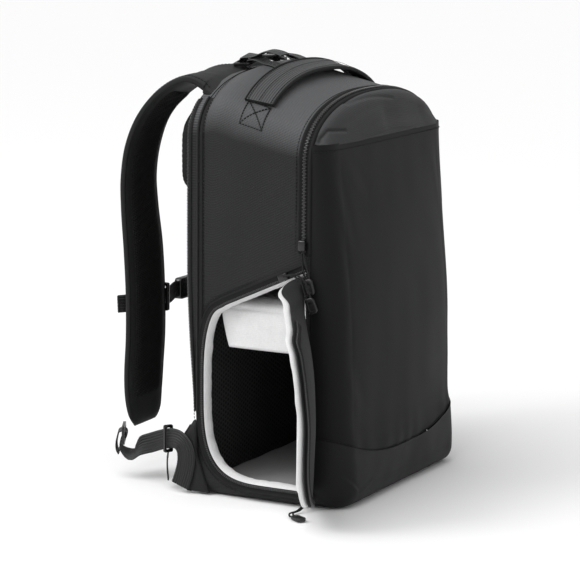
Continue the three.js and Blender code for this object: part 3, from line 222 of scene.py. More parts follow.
def cloth(name, dark, light, ribs, shares=(0.5, 0.5), slant=0.0, grain=0.35, grain_mm=1.2, mottle=0.3, mottle_mm=45,
          rough=0.85, sheen=0.02, bump=0.35, depth_mm=0.25, specular=0.2, tint=0.02, wear=0.25, painted_top_light=None):
    """Woven cloth: ribs, a finer grain, slow mottling, paler edges, and painted top light: a paler colour where it
    faces up
    """
    material, tree, shader = start_material(name)
    place = node(tree, "ShaderNodeTexCoord").outputs["Object"]
    weave = weave_height(tree, ribs, shares, slant)
    fine = node(tree, "ShaderNodeTexNoise", {"Vector": place, "Scale": 1000 / grain_mm, "Detail": 3.0}).outputs[0]
    broad = node(tree, "ShaderNodeTexNoise", {"Vector": place, "Scale": 1000 / mottle_mm, "Detail": 4.0}).outputs[0]
    height = sums(tree, "ADD", weave, sums(tree, "MULTIPLY", sums(tree, "SUBTRACT", fine, 0.5), 2 * grain))
    tone = sums(tree, "ADD", sums(tree, "MULTIPLY", height, 0.28), 0.5)
    tone = sums(tree, "ADD", tone, sums(tree, "MULTIPLY", sums(tree, "SUBTRACT", broad, 0.5), 2 * mottle))
    edge = node(tree, "ShaderNodeNewGeometry").outputs["Pointiness"]
    worn = sums(tree, "MULTIPLY", sums(tree, "SUBTRACT", edge, 0.5), 6 * wear)
    tone = sums(tree, "ADD", tone, worn, clamp=True)
    colour = node(tree, "ShaderNodeMix", {0: tone, 6: grey(dark, tint), 7: grey(light, tint)}, data_type="RGBA")
    shown = colour.outputs[2]
    # painted light: where the surface faces up, its colour is mixed towards a paler grey that stands in for the light
    # from above
    if painted_top_light:
        facing = node(tree, "ShaderNodeSeparateXYZ", {0: node(tree, "ShaderNodeNewGeometry").outputs["Normal"]})
        share = sums(tree, "MULTIPLY", sums(tree, "SUBTRACT", facing.outputs[2], 0.05), 1.5, clamp=True)
        uneven = sums(tree, "ADD", sums(tree, "MULTIPLY", height, 0.3), 0.6)
        share = sums(tree, "MULTIPLY", share, uneven, clamp=True)
        shown = node(tree, "ShaderNodeMix", {0: share, 6: shown, 7: grey(painted_top_light, tint)}, data_type="RGBA").outputs[2]
    tree.links.new(shown, shader.inputs["Base Color"])
    roughness = sums(tree, "ADD", sums(tree, "MULTIPLY", broad, 0.12), rough - 0.06, clamp=True)
    tree.links.new(roughness, shader.inputs["Roughness"])
    shader.inputs["Specular IOR Level"].default_value = specular
    shader.inputs["Sheen Weight"].default_value = sheen
    shader.inputs["Sheen Roughness"].default_value = 0.5
    raised = node(tree, "ShaderNodeBump", {"Height": height, "Strength": bump, "Distance": depth_mm * MM})
    tree.links.new(raised.outputs[0], shader.inputs["Normal"])
    return material


def netting(name, dark, light, cell, hole, rough=0.8, depth_mm=0.8):
    """Open mesh: strands round rows of dark holes"""
    material, tree, shader = start_material(name)
    uv = node(tree, "ShaderNodeUVMap", uv_map="UVMap").outputs[0]
    split = node(tree, "ShaderNodeSeparateXYZ", {0: uv})
    u, v = split.outputs[0], split.outputs[1]
    waves = []
    for angle in (0, pi / 3, 2 * pi / 3):
        along = sums(tree, "ADD", sums(tree, "MULTIPLY", u, cos(angle)), sums(tree, "MULTIPLY", v, sin(angle)))
        waves.append(sums(tree, "COSINE", sums(tree, "MULTIPLY", along, 2 * pi / cell)))
    total = sums(tree, "ADD", sums(tree, "ADD", waves[0], waves[1]), waves[2])
    strand = sums(tree, "MULTIPLY", sums(tree, "SUBTRACT", hole, total), 0.9, clamp=True)
    colour = node(tree, "ShaderNodeMix", {0: strand, 6: grey(dark), 7: grey(light)}, data_type="RGBA")
    tree.links.new(colour.outputs[2], shader.inputs["Base Color"])
    shader.inputs["Roughness"].default_value = rough
    shader.inputs["Specular IOR Level"].default_value = 0.25
    raised = node(tree, "ShaderNodeBump", {"Height": strand, "Strength": 0.8, "Distance": depth_mm * MM})
    tree.links.new(raised.outputs[0], shader.inputs["Normal"])
    return material


def plastic(name, value, rough, specular=0.5, scuff_mm=4.0):
    """Moulded plastic with fine scuffs in its gloss"""
    material, tree, shader = start_material(name)
    place = node(tree, "ShaderNodeTexCoord").outputs["Object"]
    scuff = node(tree, "ShaderNodeTexNoise", {"Vector": place, "Scale": 1000 / scuff_mm, "Detail": 6.0}).outputs[0]
    tone = node(tree, "ShaderNodeMix", {0: scuff, 6: grey(0.7 * value), 7: grey(1.5 * value)}, data_type="RGBA")
    tree.links.new(tone.outputs[2], shader.inputs["Base Color"])
    roughness = sums(tree, "ADD", sums(tree, "MULTIPLY", scuff, 0.16), rough - 0.08, clamp=True)
    tree.links.new(roughness, shader.inputs["Roughness"])
    shader.inputs["Specular IOR Level"].default_value = specular
    raised = node(tree, "ShaderNodeBump", {"Height": scuff, "Strength": 0.08, "Distance": 0.2 * MM})
    tree.links.new(raised.outputs[0], shader.inputs["Normal"])
    return material


# painted top light: the last value given to the ripstop, crown, base, hood and webbing cloths is the paler grey they
# are painted with where they face up
RIPSTOP = cloth("ripstop", 0.005, 0.020, (1.6, 2.6), (0.75, 0.15), grain=0.5, grain_mm=0.9, mottle=0.25,
                mottle_mm=60, rough=0.62, specular=0.2, bump=0.6, painted_top_light=0.13)
CROWN_CLOTH = cloth("crown_cloth", 0.006, 0.017, (1.5, 1.5), (0.4, 0.4), grain=0.6, mottle=0.25, rough=0.66,
                    bump=0.45, painted_top_light=0.032)
COATED = cloth("coated_cloth", 0.004, 0.010, (1.1, 1.1), (0.2, 0.2), grain=0.45, grain_mm=0.8, mottle=0.35,
               mottle_mm=80, rough=0.58, specular=0.13, bump=0.14, wear=0.5)
BASE_CLOTH = cloth("base_cloth", 0.006, 0.014, (1.1, 1.1), (0.2, 0.2), grain=0.45, grain_mm=0.8, mottle=0.3,
                   rough=0.55, specular=0.16, bump=0.14, painted_top_light=0.04)
LINING = cloth("brushed_lining", 0.55, 0.8, (1.8, 1.8), (0.15, 0.15), grain=0.9, grain_mm=1.6, mottle=0.3,
               mottle_mm=14, rough=0.95, specular=0.15, bump=0.5, depth_mm=0.4, sheen=0.2, tint=0.0, wear=0.1)
# painted shade: the same light lining in a darker copy, for the walls inside the bay where shade falls
LINING_PAINTED_SHADE = cloth("brushed_lining_painted_shade", 0.2, 0.32, (1.8, 1.8), (0.15, 0.15), grain=0.9, grain_mm=1.6,
                    mottle=0.3, rough=0.95, specular=0.15, bump=0.4, sheen=0.1, tint=0.0)
HOOD_CLOTH = cloth("hood_cloth", 0.012, 0.03, (1.5, 1.5), (0.4, 0.4), grain=0.6, mottle=0.25, rough=0.66,
                   bump=0.45, painted_top_light=0.075)
BINDING = cloth("binding", 0.005, 0.013, (1.2, 2.4), (0.6, 0.3), grain=0.3, rough=0.62, bump=0.6, depth_mm=0.3,
                mottle=0.15)
WEBBING = cloth("webbing", 0.004, 0.016, (2.4, 1.1), (0.75, 0.3), grain=0.25, rough=0.55, specular=0.3, bump=0.9,
                depth_mm=0.35, mottle=0.15, painted_top_light=0.09)
TAPE = cloth("zip_tape", 0.003, 0.009, (1.3, 0.9), (0.5, 0.3), slant=0.6, grain=0.3, rough=0.7, bump=0.5,
             mottle=0.15)
STITCH = cloth("thread", 0.003, 0.008, (0.8, 0.8), (0.5, 0.5), rough=0.6, mottle=0.1)
AIR_MESH = netting("air_mesh", 0.001, 0.009, 2.3, 0.7, rough=0.75)
NET = netting("pocket_net", 0.001, 0.03, 4.2, 1.0, rough=0.7)
COIL = plastic("zip_coil", 0.04, 0.3, scuff_mm=2.0)
HARD = plastic("moulded_plastic", 0.005, 0.24)
GRIP = plastic("moulded_grip", 0.010, 0.45)
CORD = cloth("pull_cord", 0.006, 0.018, (0.9, 1.1), (0.6, 0.5), slant=0.8, rough=0.6, bump=0.7, mottle=0.1)


# ---------------------------------------------------------------- meshes
def lengths(points, around):
    """Distances in mm along the rows and columns of a grid of points"""
    ring = np.concatenate([points, points[:, :1]], 1) if around else points
    far = []
    for axis in (1, 0):
        steps = np.linalg.norm(np.diff(ring, axis=axis), axis=2)
        start = np.zeros_like(np.take(steps, [0], axis=axis))
        far.append(np.concatenate([start, np.cumsum(steps, axis)], axis))
    u, v = far
    return np.stack([np.broadcast_to(u.mean(0), u.shape), np.broadcast_to(v.mean(1)[:, None], v.shape)], 2)


class Shape:
    """Faces gathered for one mesh, in mm, with the cloth's own lengths as UVs"""

    def __init__(self):
        self.points, self.faces, self.uvs, self.kinds, self.count = [], [], [], [], 0

    def add(self, points, faces, uvs, kind):
        self.points.append(np.asarray(points, float))
        self.faces.extend((np.asarray(faces) + self.count).tolist())
        self.uvs.append(np.asarray(uvs, float).reshape(-1, 2))
        self.kinds.extend([kind] * len(faces))
        self.count += len(points)

    def grid(self, points, kind=0, around=False, uv=None, keep=None):
        points = np.asarray(points, float)
        rows, cols = points.shape[:2]
        uv = lengths(points, around) if uv is None else uv
        wide = cols if around else cols - 1
        i, j = np.meshgrid(np.arange(rows - 1), np.arange(wide), indexing="ij")
        i, j = i.ravel(), j.ravel()
        if keep is not None:
            kept = keep[i, j]
            i, j = i[kept], j[kept]
        k = (j + 1) % cols
        faces = np.stack([i * cols + j, i * cols + k, (i + 1) * cols + k, (i + 1) * cols + j], 1)
        corners = np.stack([uv[i, j], uv[i, j + 1], uv[i + 1, j + 1], uv[i + 1, j]], 1)
        self.add(points.reshape(-1, 3), faces, corners, kind)

    def cap(self, ring, kind=0):
        """Closes the end of a tube with a fan"""
        ring = np.asarray(ring, float)
        count = len(ring)
        points = np.concatenate([ring, ring.mean(0, keepdims=True)])
        faces = [[j, (j + 1) % count, count] for j in range(count)]
        self.add(points, faces, np.zeros((3 * count, 2)), kind)

    def tube(self, rings, kind=0, caps=True, uv=None):
        rings = np.asarray(rings, float)
        self.grid(rings, kind, around=True, uv=uv)
        if caps:
            self.cap(rings[0], kind)
            self.cap(rings[-1], kind)

    def beads(self, path, outs, pitch, size, kind=0, lift=0.0, sway=0.0, taper=0.75):
        """Small raised blocks along a path, such as zip teeth or stitches: size is along, across and out"""
        path, outs = np.asarray(path, float), np.asarray(outs, float)
        far = np.concatenate([[0], np.cumsum(np.linalg.norm(np.diff(path, axis=0), axis=1))])
        places = np.arange(pitch / 2, far[-1], pitch)
        if not len(places):
            return
        at = np.stack([np.interp(places, far, path[:, k]) for k in range(3)], 1)
        ahead = np.stack([np.interp(places + 0.3, far, path[:, k]) for k in range(3)], 1)
        behind = np.stack([np.interp(places - 0.3, far, path[:, k]) for k in range(3)], 1)
        out = np.stack([np.interp(places, far, outs[:, k]) for k in range(3)], 1)
        run = unit(ahead - behind)
        out = unit(out - run * dot(out, run))
        side = np.cross(out, run)
        at = at + out * lift + side * (sway * np.where(np.arange(len(at)) % 2, 1, -1))[:, None]
        long, wide, tall = (s / 2 for s in size)
        corners = []
        for b, scale in ((-1, 1), (0.45, 1), (1, taper)):
            for a, c in ((-1, -1), (1, -1), (1, 1), (-1, 1)):
                corners.append(at + run * (a * long * scale) + side * (c * wide * scale) + out * (b * tall))
        points = np.stack(corners, 1).reshape(-1, 3)
        one = [[0, 1, 5, 4], [1, 2, 6, 5], [2, 3, 7, 6], [3, 0, 4, 7], [4, 5, 9, 8], [5, 6, 10, 9], [6, 7, 11, 10],
               [7, 4, 8, 11], [8, 9, 10, 11], [3, 2, 1, 0]]
        faces = (np.arange(len(at))[:, None, None] * 12 + np.array(one)[None]).reshape(-1, 4)
        self.add(points, faces, np.zeros((4 * len(faces), 2)), kind)

    def build(self, name, materials, replaces=(), sharp=38, weld=True):
        mesh = bpy.data.meshes.new(name)
        mesh.from_pydata((np.concatenate(self.points) * MM).tolist(), [], self.faces)
        layer = mesh.uv_layers.new(name="UVMap")
        layer.data.foreach_set("uv", np.concatenate(self.uvs).ravel())
        mesh.polygons.foreach_set("material_index", self.kinds)
        for material in materials:
            mesh.materials.append(material)
        made = bmesh.new()
        made.from_mesh(mesh)
        if weld:
            bmesh.ops.remove_doubles(made, verts=made.verts, dist=0.00002)
        bmesh.ops.recalc_face_normals(made, faces=made.faces)
        made.to_mesh(mesh)
        made.free()
        mesh.polygons.foreach_set("use_smooth", [True] * len(mesh.polygons))
        mesh.set_sharp_from_angle(angle=rad(sharp))
        piece = bpy.data.objects.new(name, mesh)
        bpy.context.scene.collection.objects.link(piece)
        return settle(piece, replaces)


def settle(piece, replaces=()):
    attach(piece, "root")
    if replaces:
        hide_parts(*replaces)
    return piece


def smooth_path(points, steps):
    """Even steps along a centripetal curve through the points"""
    p = np.asarray(points, float)
    p = np.concatenate([[2 * p[0] - p[1]], p, [2 * p[-1] - p[-2]]])
    made = []
    spans = len(p) - 3
    for s in np.linspace(0, spans, steps + 1):
        i = min(int(s), spans - 1)
        t = s - i
        a, b, c, d = p[i], p[i + 1], p[i + 2], p[i + 3]
        k0, k1, k2 = (max(np.linalg.norm(q - r) ** 0.5, 1e-4) for q, r in ((b, a), (c, b), (d, c)))
        m = ((b - a) / k0 - (c - a) / (k0 + k1) + (c - b) / k1) * k1
        n = ((c - b) / k1 - (d - b) / (k1 + k2) + (d - c) / k2) * k1
        made.append(b + m * t + (-3 * b + 3 * c - 2 * m - n) * t**2 + (2 * b - 2 * c + m + n) * t**3)
    return np.array(made)


def swept(places, sides, section):
    """Rings of a section of (across, out) carried along places; a section may differ at each place"""
    places = np.asarray(places, float)
    run = unit(np.gradient(places, axis=0))
    sides = np.broadcast_to(np.asarray(sides, float), places.shape)
    wide = unit(sides - run * dot(sides, run))
    out = np.cross(wide, run)
    section = np.asarray(section, float)
    if section.ndim == 2:
        section = np.broadcast_to(section, (len(places),) + section.shape)
    rings = places[:, None] + wide[:, None] * section[..., :1] + out[:, None] * section[..., 1:]
    return rings, wide, out


def band_section(width, thickness, ribs, rib=0.22):
    """Webbing's section: lengthwise ridges on both faces and rounded edges"""
    half, deep = width / 2, thickness / 2
    x = np.linspace(-1, 1, 8 * ribs + 1)
    thin = deep * np.clip((1 - np.abs(x) ** 14), 0.25, 1)
    ridge = rib * np.abs(np.sin(pi * (x + 1) * ribs / 2)) - rib
    top = np.stack([x * half, thin + ridge], 1)
    low = np.stack([x[::-1] * half, -(thin + ridge)[::-1]], 1)
    return np.concatenate([low[::-1], top[::-1]])[::-1]


def webbing(name, places, sides, width, thickness, replaces, ribs=7):
    shape = Shape()
    rings, _, _ = swept(places, sides, band_section(width, thickness, ribs))
    shape.tube(rings)
    return shape.build(name, [WEBBING], replaces)


def moulded(name, cad, bevel_mm=0.45):
    """A moulded piece: the form of its hard node with rounded edges"""
    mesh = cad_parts[cad].data.copy()
    mesh.name = name
    mesh.materials.clear()
    mesh.materials.append(HARD)
    made = bmesh.new()
    made.from_mesh(mesh)
    bmesh.ops.remove_doubles(made, verts=made.verts, dist=0.00001)
    bmesh.ops.dissolve_limit(made, angle_limit=rad(2), verts=made.verts, edges=made.edges)
    sharp = [e for e in made.edges if len(e.link_faces) == 2 and e.calc_face_angle() > rad(35)]
    bmesh.ops.bevel(made, geom=sharp, offset=bevel_mm * MM, segments=2, affect="EDGES", profile=0.5)
    bmesh.ops.recalc_face_normals(made, faces=made.faces)
    made.to_mesh(mesh)
    made.free()
    mesh.polygons.foreach_set("use_smooth", [True] * len(mesh.polygons))
    mesh.set_sharp_from_angle(angle=rad(30))
    piece = bpy.data.objects.new(name, mesh)
    bpy.context.scene.collection.objects.link(piece)
    return settle(piece, [cad])


# ---------------------------------------------------------------- zip pulls, with their cords
ZIP_TAPE_THICK, SLIDER_OUT = 1.6, 2.9
SLIDER_X = SIDE_X - GAP - ZIP_TAPE_THICK - SLIDER_OUT
PULLS = {
    "front_zip": ([(0, -32.6, 252), (0, -34.5, 240), (0, -38, 227)], (0, 1, 0)),
    "door_top": ([(-3.8, -14.6, 228.6), (-4, -26, 230.5), (-4.2, -36, 224), (-4, -38.8, 216), (-4, -41.6, 209.5)],
                 (0, 1, 0)),
    "door_bottom": ([(-3.8, -40.5, 8), (-13, -38, 2.8), (-24, -36, 2.3), (-33, -41, 2.3), (-34.6, -44, 2.3)],
                    (-0.88, -0.47, 0)),
}
GRIP_LENGTH, GRIP_WIDTH, GRIP_DEPTH, CORD_MM, SPREAD = 15.5, 9.5, 3.2, 1.8, 2.3


def rounded_rectangle(width, length, radius, steps=5):
    ring = []
    for k, (sx, sy) in enumerate(((1, 1), (-1, 1), (-1, -1), (1, -1))):
        for a in np.linspace(0, pi / 2, steps + 1) + k * pi / 2:
            ring.append((sx * (width / 2 - radius) + radius * cos(a), sy * (length / 2 - radius) + radius * sin(a)))
    return np.array(ring)


def grip_piece(name, middle, wide, run, out):
    """Moulded grip with a rounded rim round a recessed window"""
    shape = Shape()
    outer = rounded_rectangle(GRIP_WIDTH, GRIP_LENGTH, 3.2)
    inner = rounded_rectangle(4.4, 8.2, 1.6) + np.array([0, 0.8])
    half = GRIP_DEPTH / 2
    profile = [(0, -0.7), (0, 0.7), (0.12, 0.95), (0.3, 1), (0.75, 1), (0.95, 0.85), (1, 0.5), (1, -0.5),
               (0.95, -0.85), (0.75, -1), (0.3, -1), (0.12, -0.95)]
    rows = []
    for inward, level_ in profile:
        ring = mix(outer, inner, inward)
        rows.append(middle + ring[:, :1] * wide + ring[:, 1:] * run + out * (level_ * half))
    rows.append(rows[0])
    shape.grid(np.array(rows), around=True)
    window = middle + inner[:, :1] * wide * 1.04 + inner[:, 1:] * run * 1.04
    for level_ in (-0.25, 0.25):
        shape.cap(window + out * (level_ * half))
    shape.grid(np.array([window - out * (0.25 * half), window + out * (0.25 * half)]), around=True)
    return shape.build(name, [GRIP], sharp=50, weld=True)


def make_pull(name, stops, side):
    """A looped cord and its grip, hanging or lying as its stops say"""
    stops = np.array([(SLIDER_X + x, y, z) for x, y, z in stops], float)
    run = unit(stops[-1] - stops[-2])
    side = np.array(side, float)
    wide = unit(side - run * np.dot(side, run))
    out = np.cross(wide, run)
    grip = grip_piece(name + "_grip", stops[-1] + run * GRIP_LENGTH / 2, wide, run, out)
    centre = smooth_path(list(stops) + [stops[-1] + run * 2.5], 26)
    share = np.linspace(0, 1, len(centre))[:, None]
    gap = np.clip(0.45 + 1.1 * share, 0, 1) * SPREAD
    one, other = centre - wide * gap, centre + wide * gap
    angles = np.linspace(0, pi, 9)[1:-1, None]
    turn = centre[-1] + wide * (-SPREAD * np.cos(angles)) + run * (SPREAD * np.sin(angles))
    route = np.concatenate([one, turn, other[::-1]])
    shape = Shape()
    rings, _, _ = swept(route, out, circle(8, CORD_MM / 2))
    shape.tube(rings)
    piece = shape.build(name + "_cord", [CORD], sharp=80, weld=False)
    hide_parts(name + "_pull")


# ---------------------------------------------------------------- door opening
DOOR_FRONT_Y, DOOR_BACK_Y, DOOR_LOW, DOOR_TOP, DOOR_SLOPE = -34, 79, 16, 233.5, 0.4545
# Corners of the opening: how wide and tall, and the power of their curve
LOW_WIDE, LOW_TALL, LOW_POWER = 74, 94, 3.4
HIGH_WIDE, HIGH_TALL, HIGH_POWER = 26, 73, 2.4
HIGH_START = LOW_TALL + 10


def door_line(steps=28):
    """Outline of the door opening from the foot of its front edge, as rows of (y, z)"""
    line = [(DOOR_FRONT_Y, DOOR_LOW)]
    a = np.linspace(0, pi / 2, steps)
    y = DOOR_BACK_Y - LOW_WIDE + LOW_WIDE * np.sin(a) ** (2 / LOW_POWER)
    line += list(zip(y, DOOR_LOW + LOW_TALL - LOW_TALL * np.cos(a) ** (2 / LOW_POWER)))
    y = DOOR_BACK_Y - HIGH_WIDE + HIGH_WIDE * np.cos(a) ** (2 / HIGH_POWER)
    z = DOOR_LOW + HIGH_START + HIGH_TALL * np.sin(a) ** (2 / HIGH_POWER)
    line += [(p, q) for p, q in zip(y, z) if q < DOOR_TOP - DOOR_SLOPE * (p - DOOR_FRONT_Y)]
    last = DOOR_BACK_Y - 0.8 * HIGH_WIDE
    for p in np.linspace(last, DOOR_FRONT_Y, steps):
        line.append((p, DOOR_TOP - DOOR_SLOPE * (p - DOOR_FRONT_Y)))
    return np.array(line)


def even(line, pitch):
    """The line again in steps of about one length"""
    far = np.concatenate([[0], np.cumsum(np.linalg.norm(np.diff(line, axis=0), axis=1))])
    places = np.linspace(0, far[-1], int(far[-1] / pitch) + 1)
    return np.stack([np.interp(places, far, line[:, k]) for k in range(line.shape[1])], 1)


def eased(line, times=3):
    """The line with its kinks rounded off, its ends kept"""
    line = line.copy()
    for _ in range(times):
        line[1:-1] = (line[:-2] + 2 * line[1:-1] + line[2:]) / 4
    return line


DOOR = eased(even(door_line(), 2.5), 6)


def beside(line, distance):
    """A line of (y, z) moved outwards from the opening"""
    run = unit(np.gradient(line, axis=0))
    return line + np.stack([run[:, 1], -run[:, 0]], 1) * distance


def inside_door(y, z, grow=0.0):
    edge = beside(DOOR, grow)
    edge = np.concatenate([edge, [[DOOR_FRONT_Y - grow, DOOR_LOW - grow]]])
    nxt = np.roll(edge, -1, 0)
    y, z = np.asarray(y)[..., None], np.asarray(z)[..., None]
    spans = (edge[:, 1] > z) != (nxt[:, 1] > z)
    crossing = edge[:, 0] + (z - edge[:, 1]) * (nxt[:, 0] - edge[:, 0]) / np.where(
        nxt[:, 1] == edge[:, 1], 1e-9, nxt[:, 1] - edge[:, 1])
    return (np.sum(spans & (y < crossing), -1) % 2).astype(bool)


def snapped(points, edge, reach):
    """Points within reach of a closed line of (y, z) moved onto it"""
    a, b = edge, np.roll(edge, -1, 0)
    p = points[:, None, 1:]
    ab = (b - a)[None]
    t = np.clip(np.sum((p - a) * ab, -1) / np.maximum(np.sum(ab * ab, -1), 1e-9), 0, 1)
    near = a + ab * t[..., None]
    away = np.linalg.norm(p - near, axis=2)
    best = away.argmin(1)
    rows = np.arange(len(points))
    close = away[rows, best] < reach
    points[close, 1:] = near[rows, best][close]
    return points


def holed_wall(shape, points, kind, uv, x_limit, grow):
    """A wrapped wall with the door cut out of its near side, the cut's edge on the door's line"""
    middle = (points[:-1] + points[1:]) / 2
    middle = (middle + np.roll(middle, -1, 1)) / 2
    hole = (middle[..., 0] < x_limit) & inside_door(middle[..., 1], middle[..., 2], grow)
    edge = beside(DOOR, grow)
    corner = np.zeros(points.shape[:2], int)
    for di in (0, 1):
        for dj in (0, 1):
            corner[di:len(points) - 1 + di] += np.roll(~hole, dj, 1).astype(int)
    rim = (corner > 0) & (corner < 4) & (points[..., 0] < x_limit)
    rim[0] = rim[-1] = False
    flat = points[rim]
    closed = np.concatenate([edge, [[DOOR_FRONT_Y - grow, DOOR_LOW - grow]]])
    points[rim] = snapped(flat, closed, 4)
    shape.grid(points, kind, around=True, uv=uv, keep=~hole)


# ---------------------------------------------------------------- body


def make_body():
    """Outer cloth of the body, with the door cut out"""
    depths = np.linspace(FRONT_Y, BACK_Y, 60)
    skin = np.zeros((len(depths), len(outline(0)), 3))
    for i, y in enumerate(depths):
        ring = outline(y)
        p, n = on_ring(ring, y), ring_outward(ring)
        deep = (y - FRONT_Y) / (BACK_Y - FRONT_Y)
        pillow = 1.2 * (1 - (2 * deep - 1) ** 6) - 0.9
        lumps = 0.7 * ripple(p, 120, 3) + 0.35 * ripple(p, 38, 4, (1, 0.6, 1))
        above = np.clip((p[:, 2] - 8) / 40, 0, 1)
        skin[i] = p + n * ((pillow + lumps * (1 - (2 * deep - 1) ** 8)) * above)[:, None]
    uv = lengths(skin, True)
    body = Shape()
    holed_wall(body, skin, 0, uv, -HALF + 4, 0.3)
    for y, sign in ((FRONT_Y, 1), (BACK_Y, -1)):
        ring = outline(y)
        inner = outline(y, WALL)
        face = [on_ring(r, y + sign * 0.2) for r in (ring, inner)]
        body.grid(np.array(face), around=True)
    body.build("body_cloth", [RIPSTOP], ["body_shell"], sharp=60)


def make_body_stitching():
    """Stitch lines beside the seams of the body and round the door"""
    seams = Shape()
    for y, offset in ((BACK_Y - 5.5, 0.35), (-22.5, 0.35)):
        ring = outline(y)
        keep = ring[:, 1] > (95 if y > 0 else 238)
        ring = ring[keep]
        order = np.argsort(np.arctan2(ring[:, 0], ring[:, 1] - 200))
        ring = ring[order]
        seams.beads(on_ring(ring, y, offset), ring_outward(ring), STITCH_STEP, BODY_STITCH)
    path = on_side(beside(DOOR, 10.5), SIDE_X - 0.5)
    seams.beads(path[4:], np.broadcast_to([-1, 0, 0], path[4:].shape), STITCH_STEP, DOOR_STITCH)
    seams.build("body_stitching", [STITCH])


# ---------------------------------------------------------------- lining, net and divider


def make_lining():
    """Light lining of the bay, its inner walls in a darker copy painted with shade, with a soft roll round the door
    """
    inset = WALL + LINING_THICK + GAP
    rows = []
    for y in np.linspace(LINING_FRONT_Y, BACK_Y - GAP, 48):
        rows.append(on_ring(outline(y, inset), y))
    inside = np.array(rows)
    inside += (0.5 * ripple(inside, 40, 8))[..., None] * np.array([0.6, 0, 0.3])
    lining = Shape()
    # kind 1 is the darker lining copy: painted shade on the walls inside the bay
    holed_wall(lining, inside, 1, lengths(inside, True), -HALF + inset + 4, 0.4)
    ring = outline(LINING_FRONT_Y, inset)
    rings = []
    for share in np.linspace(0, 1, 14):
        z = mix(ring[:, 1], np.clip(ring[:, 1], 120, 280), share)
        rings.append(np.stack([ring[:, 0] * (1 - share), np.full(len(ring), LINING_FRONT_Y), z], 1))
    # the front wall inside also takes the darker lining copy with painted shade
    lining.grid(np.array(rings), 1, around=True)
    # the light edge round the door: a soft roll from the zip inwards
    line = beside(DOOR, -0.2)
    count = 15
    profile = []
    for k in range(count):
        t = k / (count - 1)
        profile.append((-0.6 - 3.4 * sin(pi * t) ** 0.7, SIDE_X - 0.6 + t * 14.5))
    roll = []
    for k, (draw, x) in enumerate(profile):
        roll.append(on_side(beside(line, draw), x))
    roll = np.array(roll)
    puff = 0.75 * ripple(roll, 17, 21) + 0.4 * ripple(roll, 7, 22)
    centre = np.array([0, 24, 110])
    roll += unit(centre - roll) * puff[..., None] * np.sin(pi * np.linspace(0, 1, count))[:, None, None]
    lining.grid(roll, 0)
    lining.build("bay_lining", [LINING, LINING_PAINTED_SHADE], ["body_lining"], sharp=60, weld=False)


def make_net_pocket():
    """Net pocket on the back wall of the bay"""
    net = Shape()
    xs, zs = np.linspace(-HALF + 12, HALF - 12, 60), np.linspace(12.5, 187, 50)
    x, z = np.meshgrid(xs, zs)
    wall = np.stack([x, BACK_Y - 2.2 - 1.5 * np.sin(pi * (z - 12) / 175) + 0.6 * np.sin(x / 9), z], 2)
    net.grid(wall)
    net.grid(np.array([[(x, BACK_Y - 4.6, z) for x in xs] for z in (183, 185.5, 188)]), 1)
    net.build("net_pocket", [NET, BINDING])


def make_divider():
    """Padded shelf whose end turns down at the door"""
    stops = [(121, 194.3), (60, 194.8), (0, 194.8), (-60, 195), (-92, 195), (-107, 194), (-115.6, 189),
             (-118.6, 180), (-119.2, 165), (-118.6, 148)]
    path = smooth_path([(x, 0, z) for x, z in stops], 150)
    run = unit(np.gradient(path, axis=0))
    out = np.stack([-run[:, 2], 0 * run[:, 0], run[:, 0]], 1)
    out *= -np.sign(out[:1, 2:])
    rings = []
    for i, (p, n) in enumerate(zip(path, out)):
        down = max(190 - p[2], 0)
        end = i / (len(path) - 1)
        y_low, y_high = -30.5, 84.2 - (16 + 0.22 * down) * np.clip((i - 90) / 25, 0, 1)
        thick = 8.2 if p[2] > 188 else mix(8.2, 6.4, min(down / 30, 1))
        close = math.sqrt(max(1 - max((end - 0.975) / 0.025, 0) ** 2, 0.02))
        seam = 0.22 * math.exp(-(((p[2] - 186.5) / 1.6) ** 2)) if p[0] < -100 else 0
        a = np.linspace(0, 2 * pi, 65)[:-1]
        y = (y_low + y_high) / 2 + (y_high - y_low) / 2 * np.sign(np.cos(a)) * np.abs(np.cos(a)) ** 0.18
        lift = thick / 2 * close * (1 - seam) * np.sign(np.sin(a)) * np.abs(np.sin(a)) ** 0.55
        ring = p + np.stack([0 * y, y, 0 * y], 1) + n * lift[:, None]
        rings.append(ring)
    rings = np.array(rings)
    rings += out[:, None] * (0.5 * ripple(rings, 45, 31) + 0.2 * ripple(rings, 15, 32))[..., None]
    rings[..., 0] = np.clip(rings[..., 0], -123.1, 123)
    divider = Shape()
    divider.tube(rings)
    divider.build("divider", [LINING], ["bay_divider"])


# ---------------------------------------------------------------- zip round the door opening


def make_rim_zip():
    """The body's half of the door's zip"""
    rim = Shape()
    x = SIDE_X - 0.3
    lines = []
    for distance, lift in ((-0.6, 0.3), (0.2, 0.9), (3.2, 1.0), (4.6, 0.8), (5.6, 1.1), (6.6, 1.7), (7.6, 1.1),
                           (8.4, 0.1)):
        lines.append(on_side(beside(DOOR, distance), x - lift))
    lines = np.array(lines)
    lines[:, :, 2] = np.maximum(lines[:, :, 2], 7.2)
    rim.grid(lines, 0)
    path = on_side(beside(DOOR, 1.1), x - 1.2)
    outs = np.broadcast_to([-1.0, 0, 0], path.shape)
    rim.beads(path, outs, TOOTH_STEP, RIM_TOOTH, 1)
    rim.build("door_rim_zip_band", [TAPE, COIL], ["door_rim_zip"], sharp=60)


# ---------------------------------------------------------------- open door
FLAP_TURNS = [(0, 129.5), (0.12, 131), (0.4, 132.5), (0.6, 130), (0.72, 126), (0.81, 118.5), (0.86, 110), (0.9, 98),
              (0.935, 58), (0.965, 12), (0.98, 0), (1, 0)]
FLAP_CURL = -10
FLAP_SKIN, FLAP_PAD_DEPTHS = 2.4, (-9.6, -3.0)
FLAP_CLEARANCE, FLAP_ZIP_WIDTH, FLAP_ZIP_TOP = 2.2, 6.1, 0.84


def flap_turn(z):
    return np.radians(spline(FLAP_TURNS, (z - DOOR_LOW) / (DOOR_TOP - DOOR_LOW)))


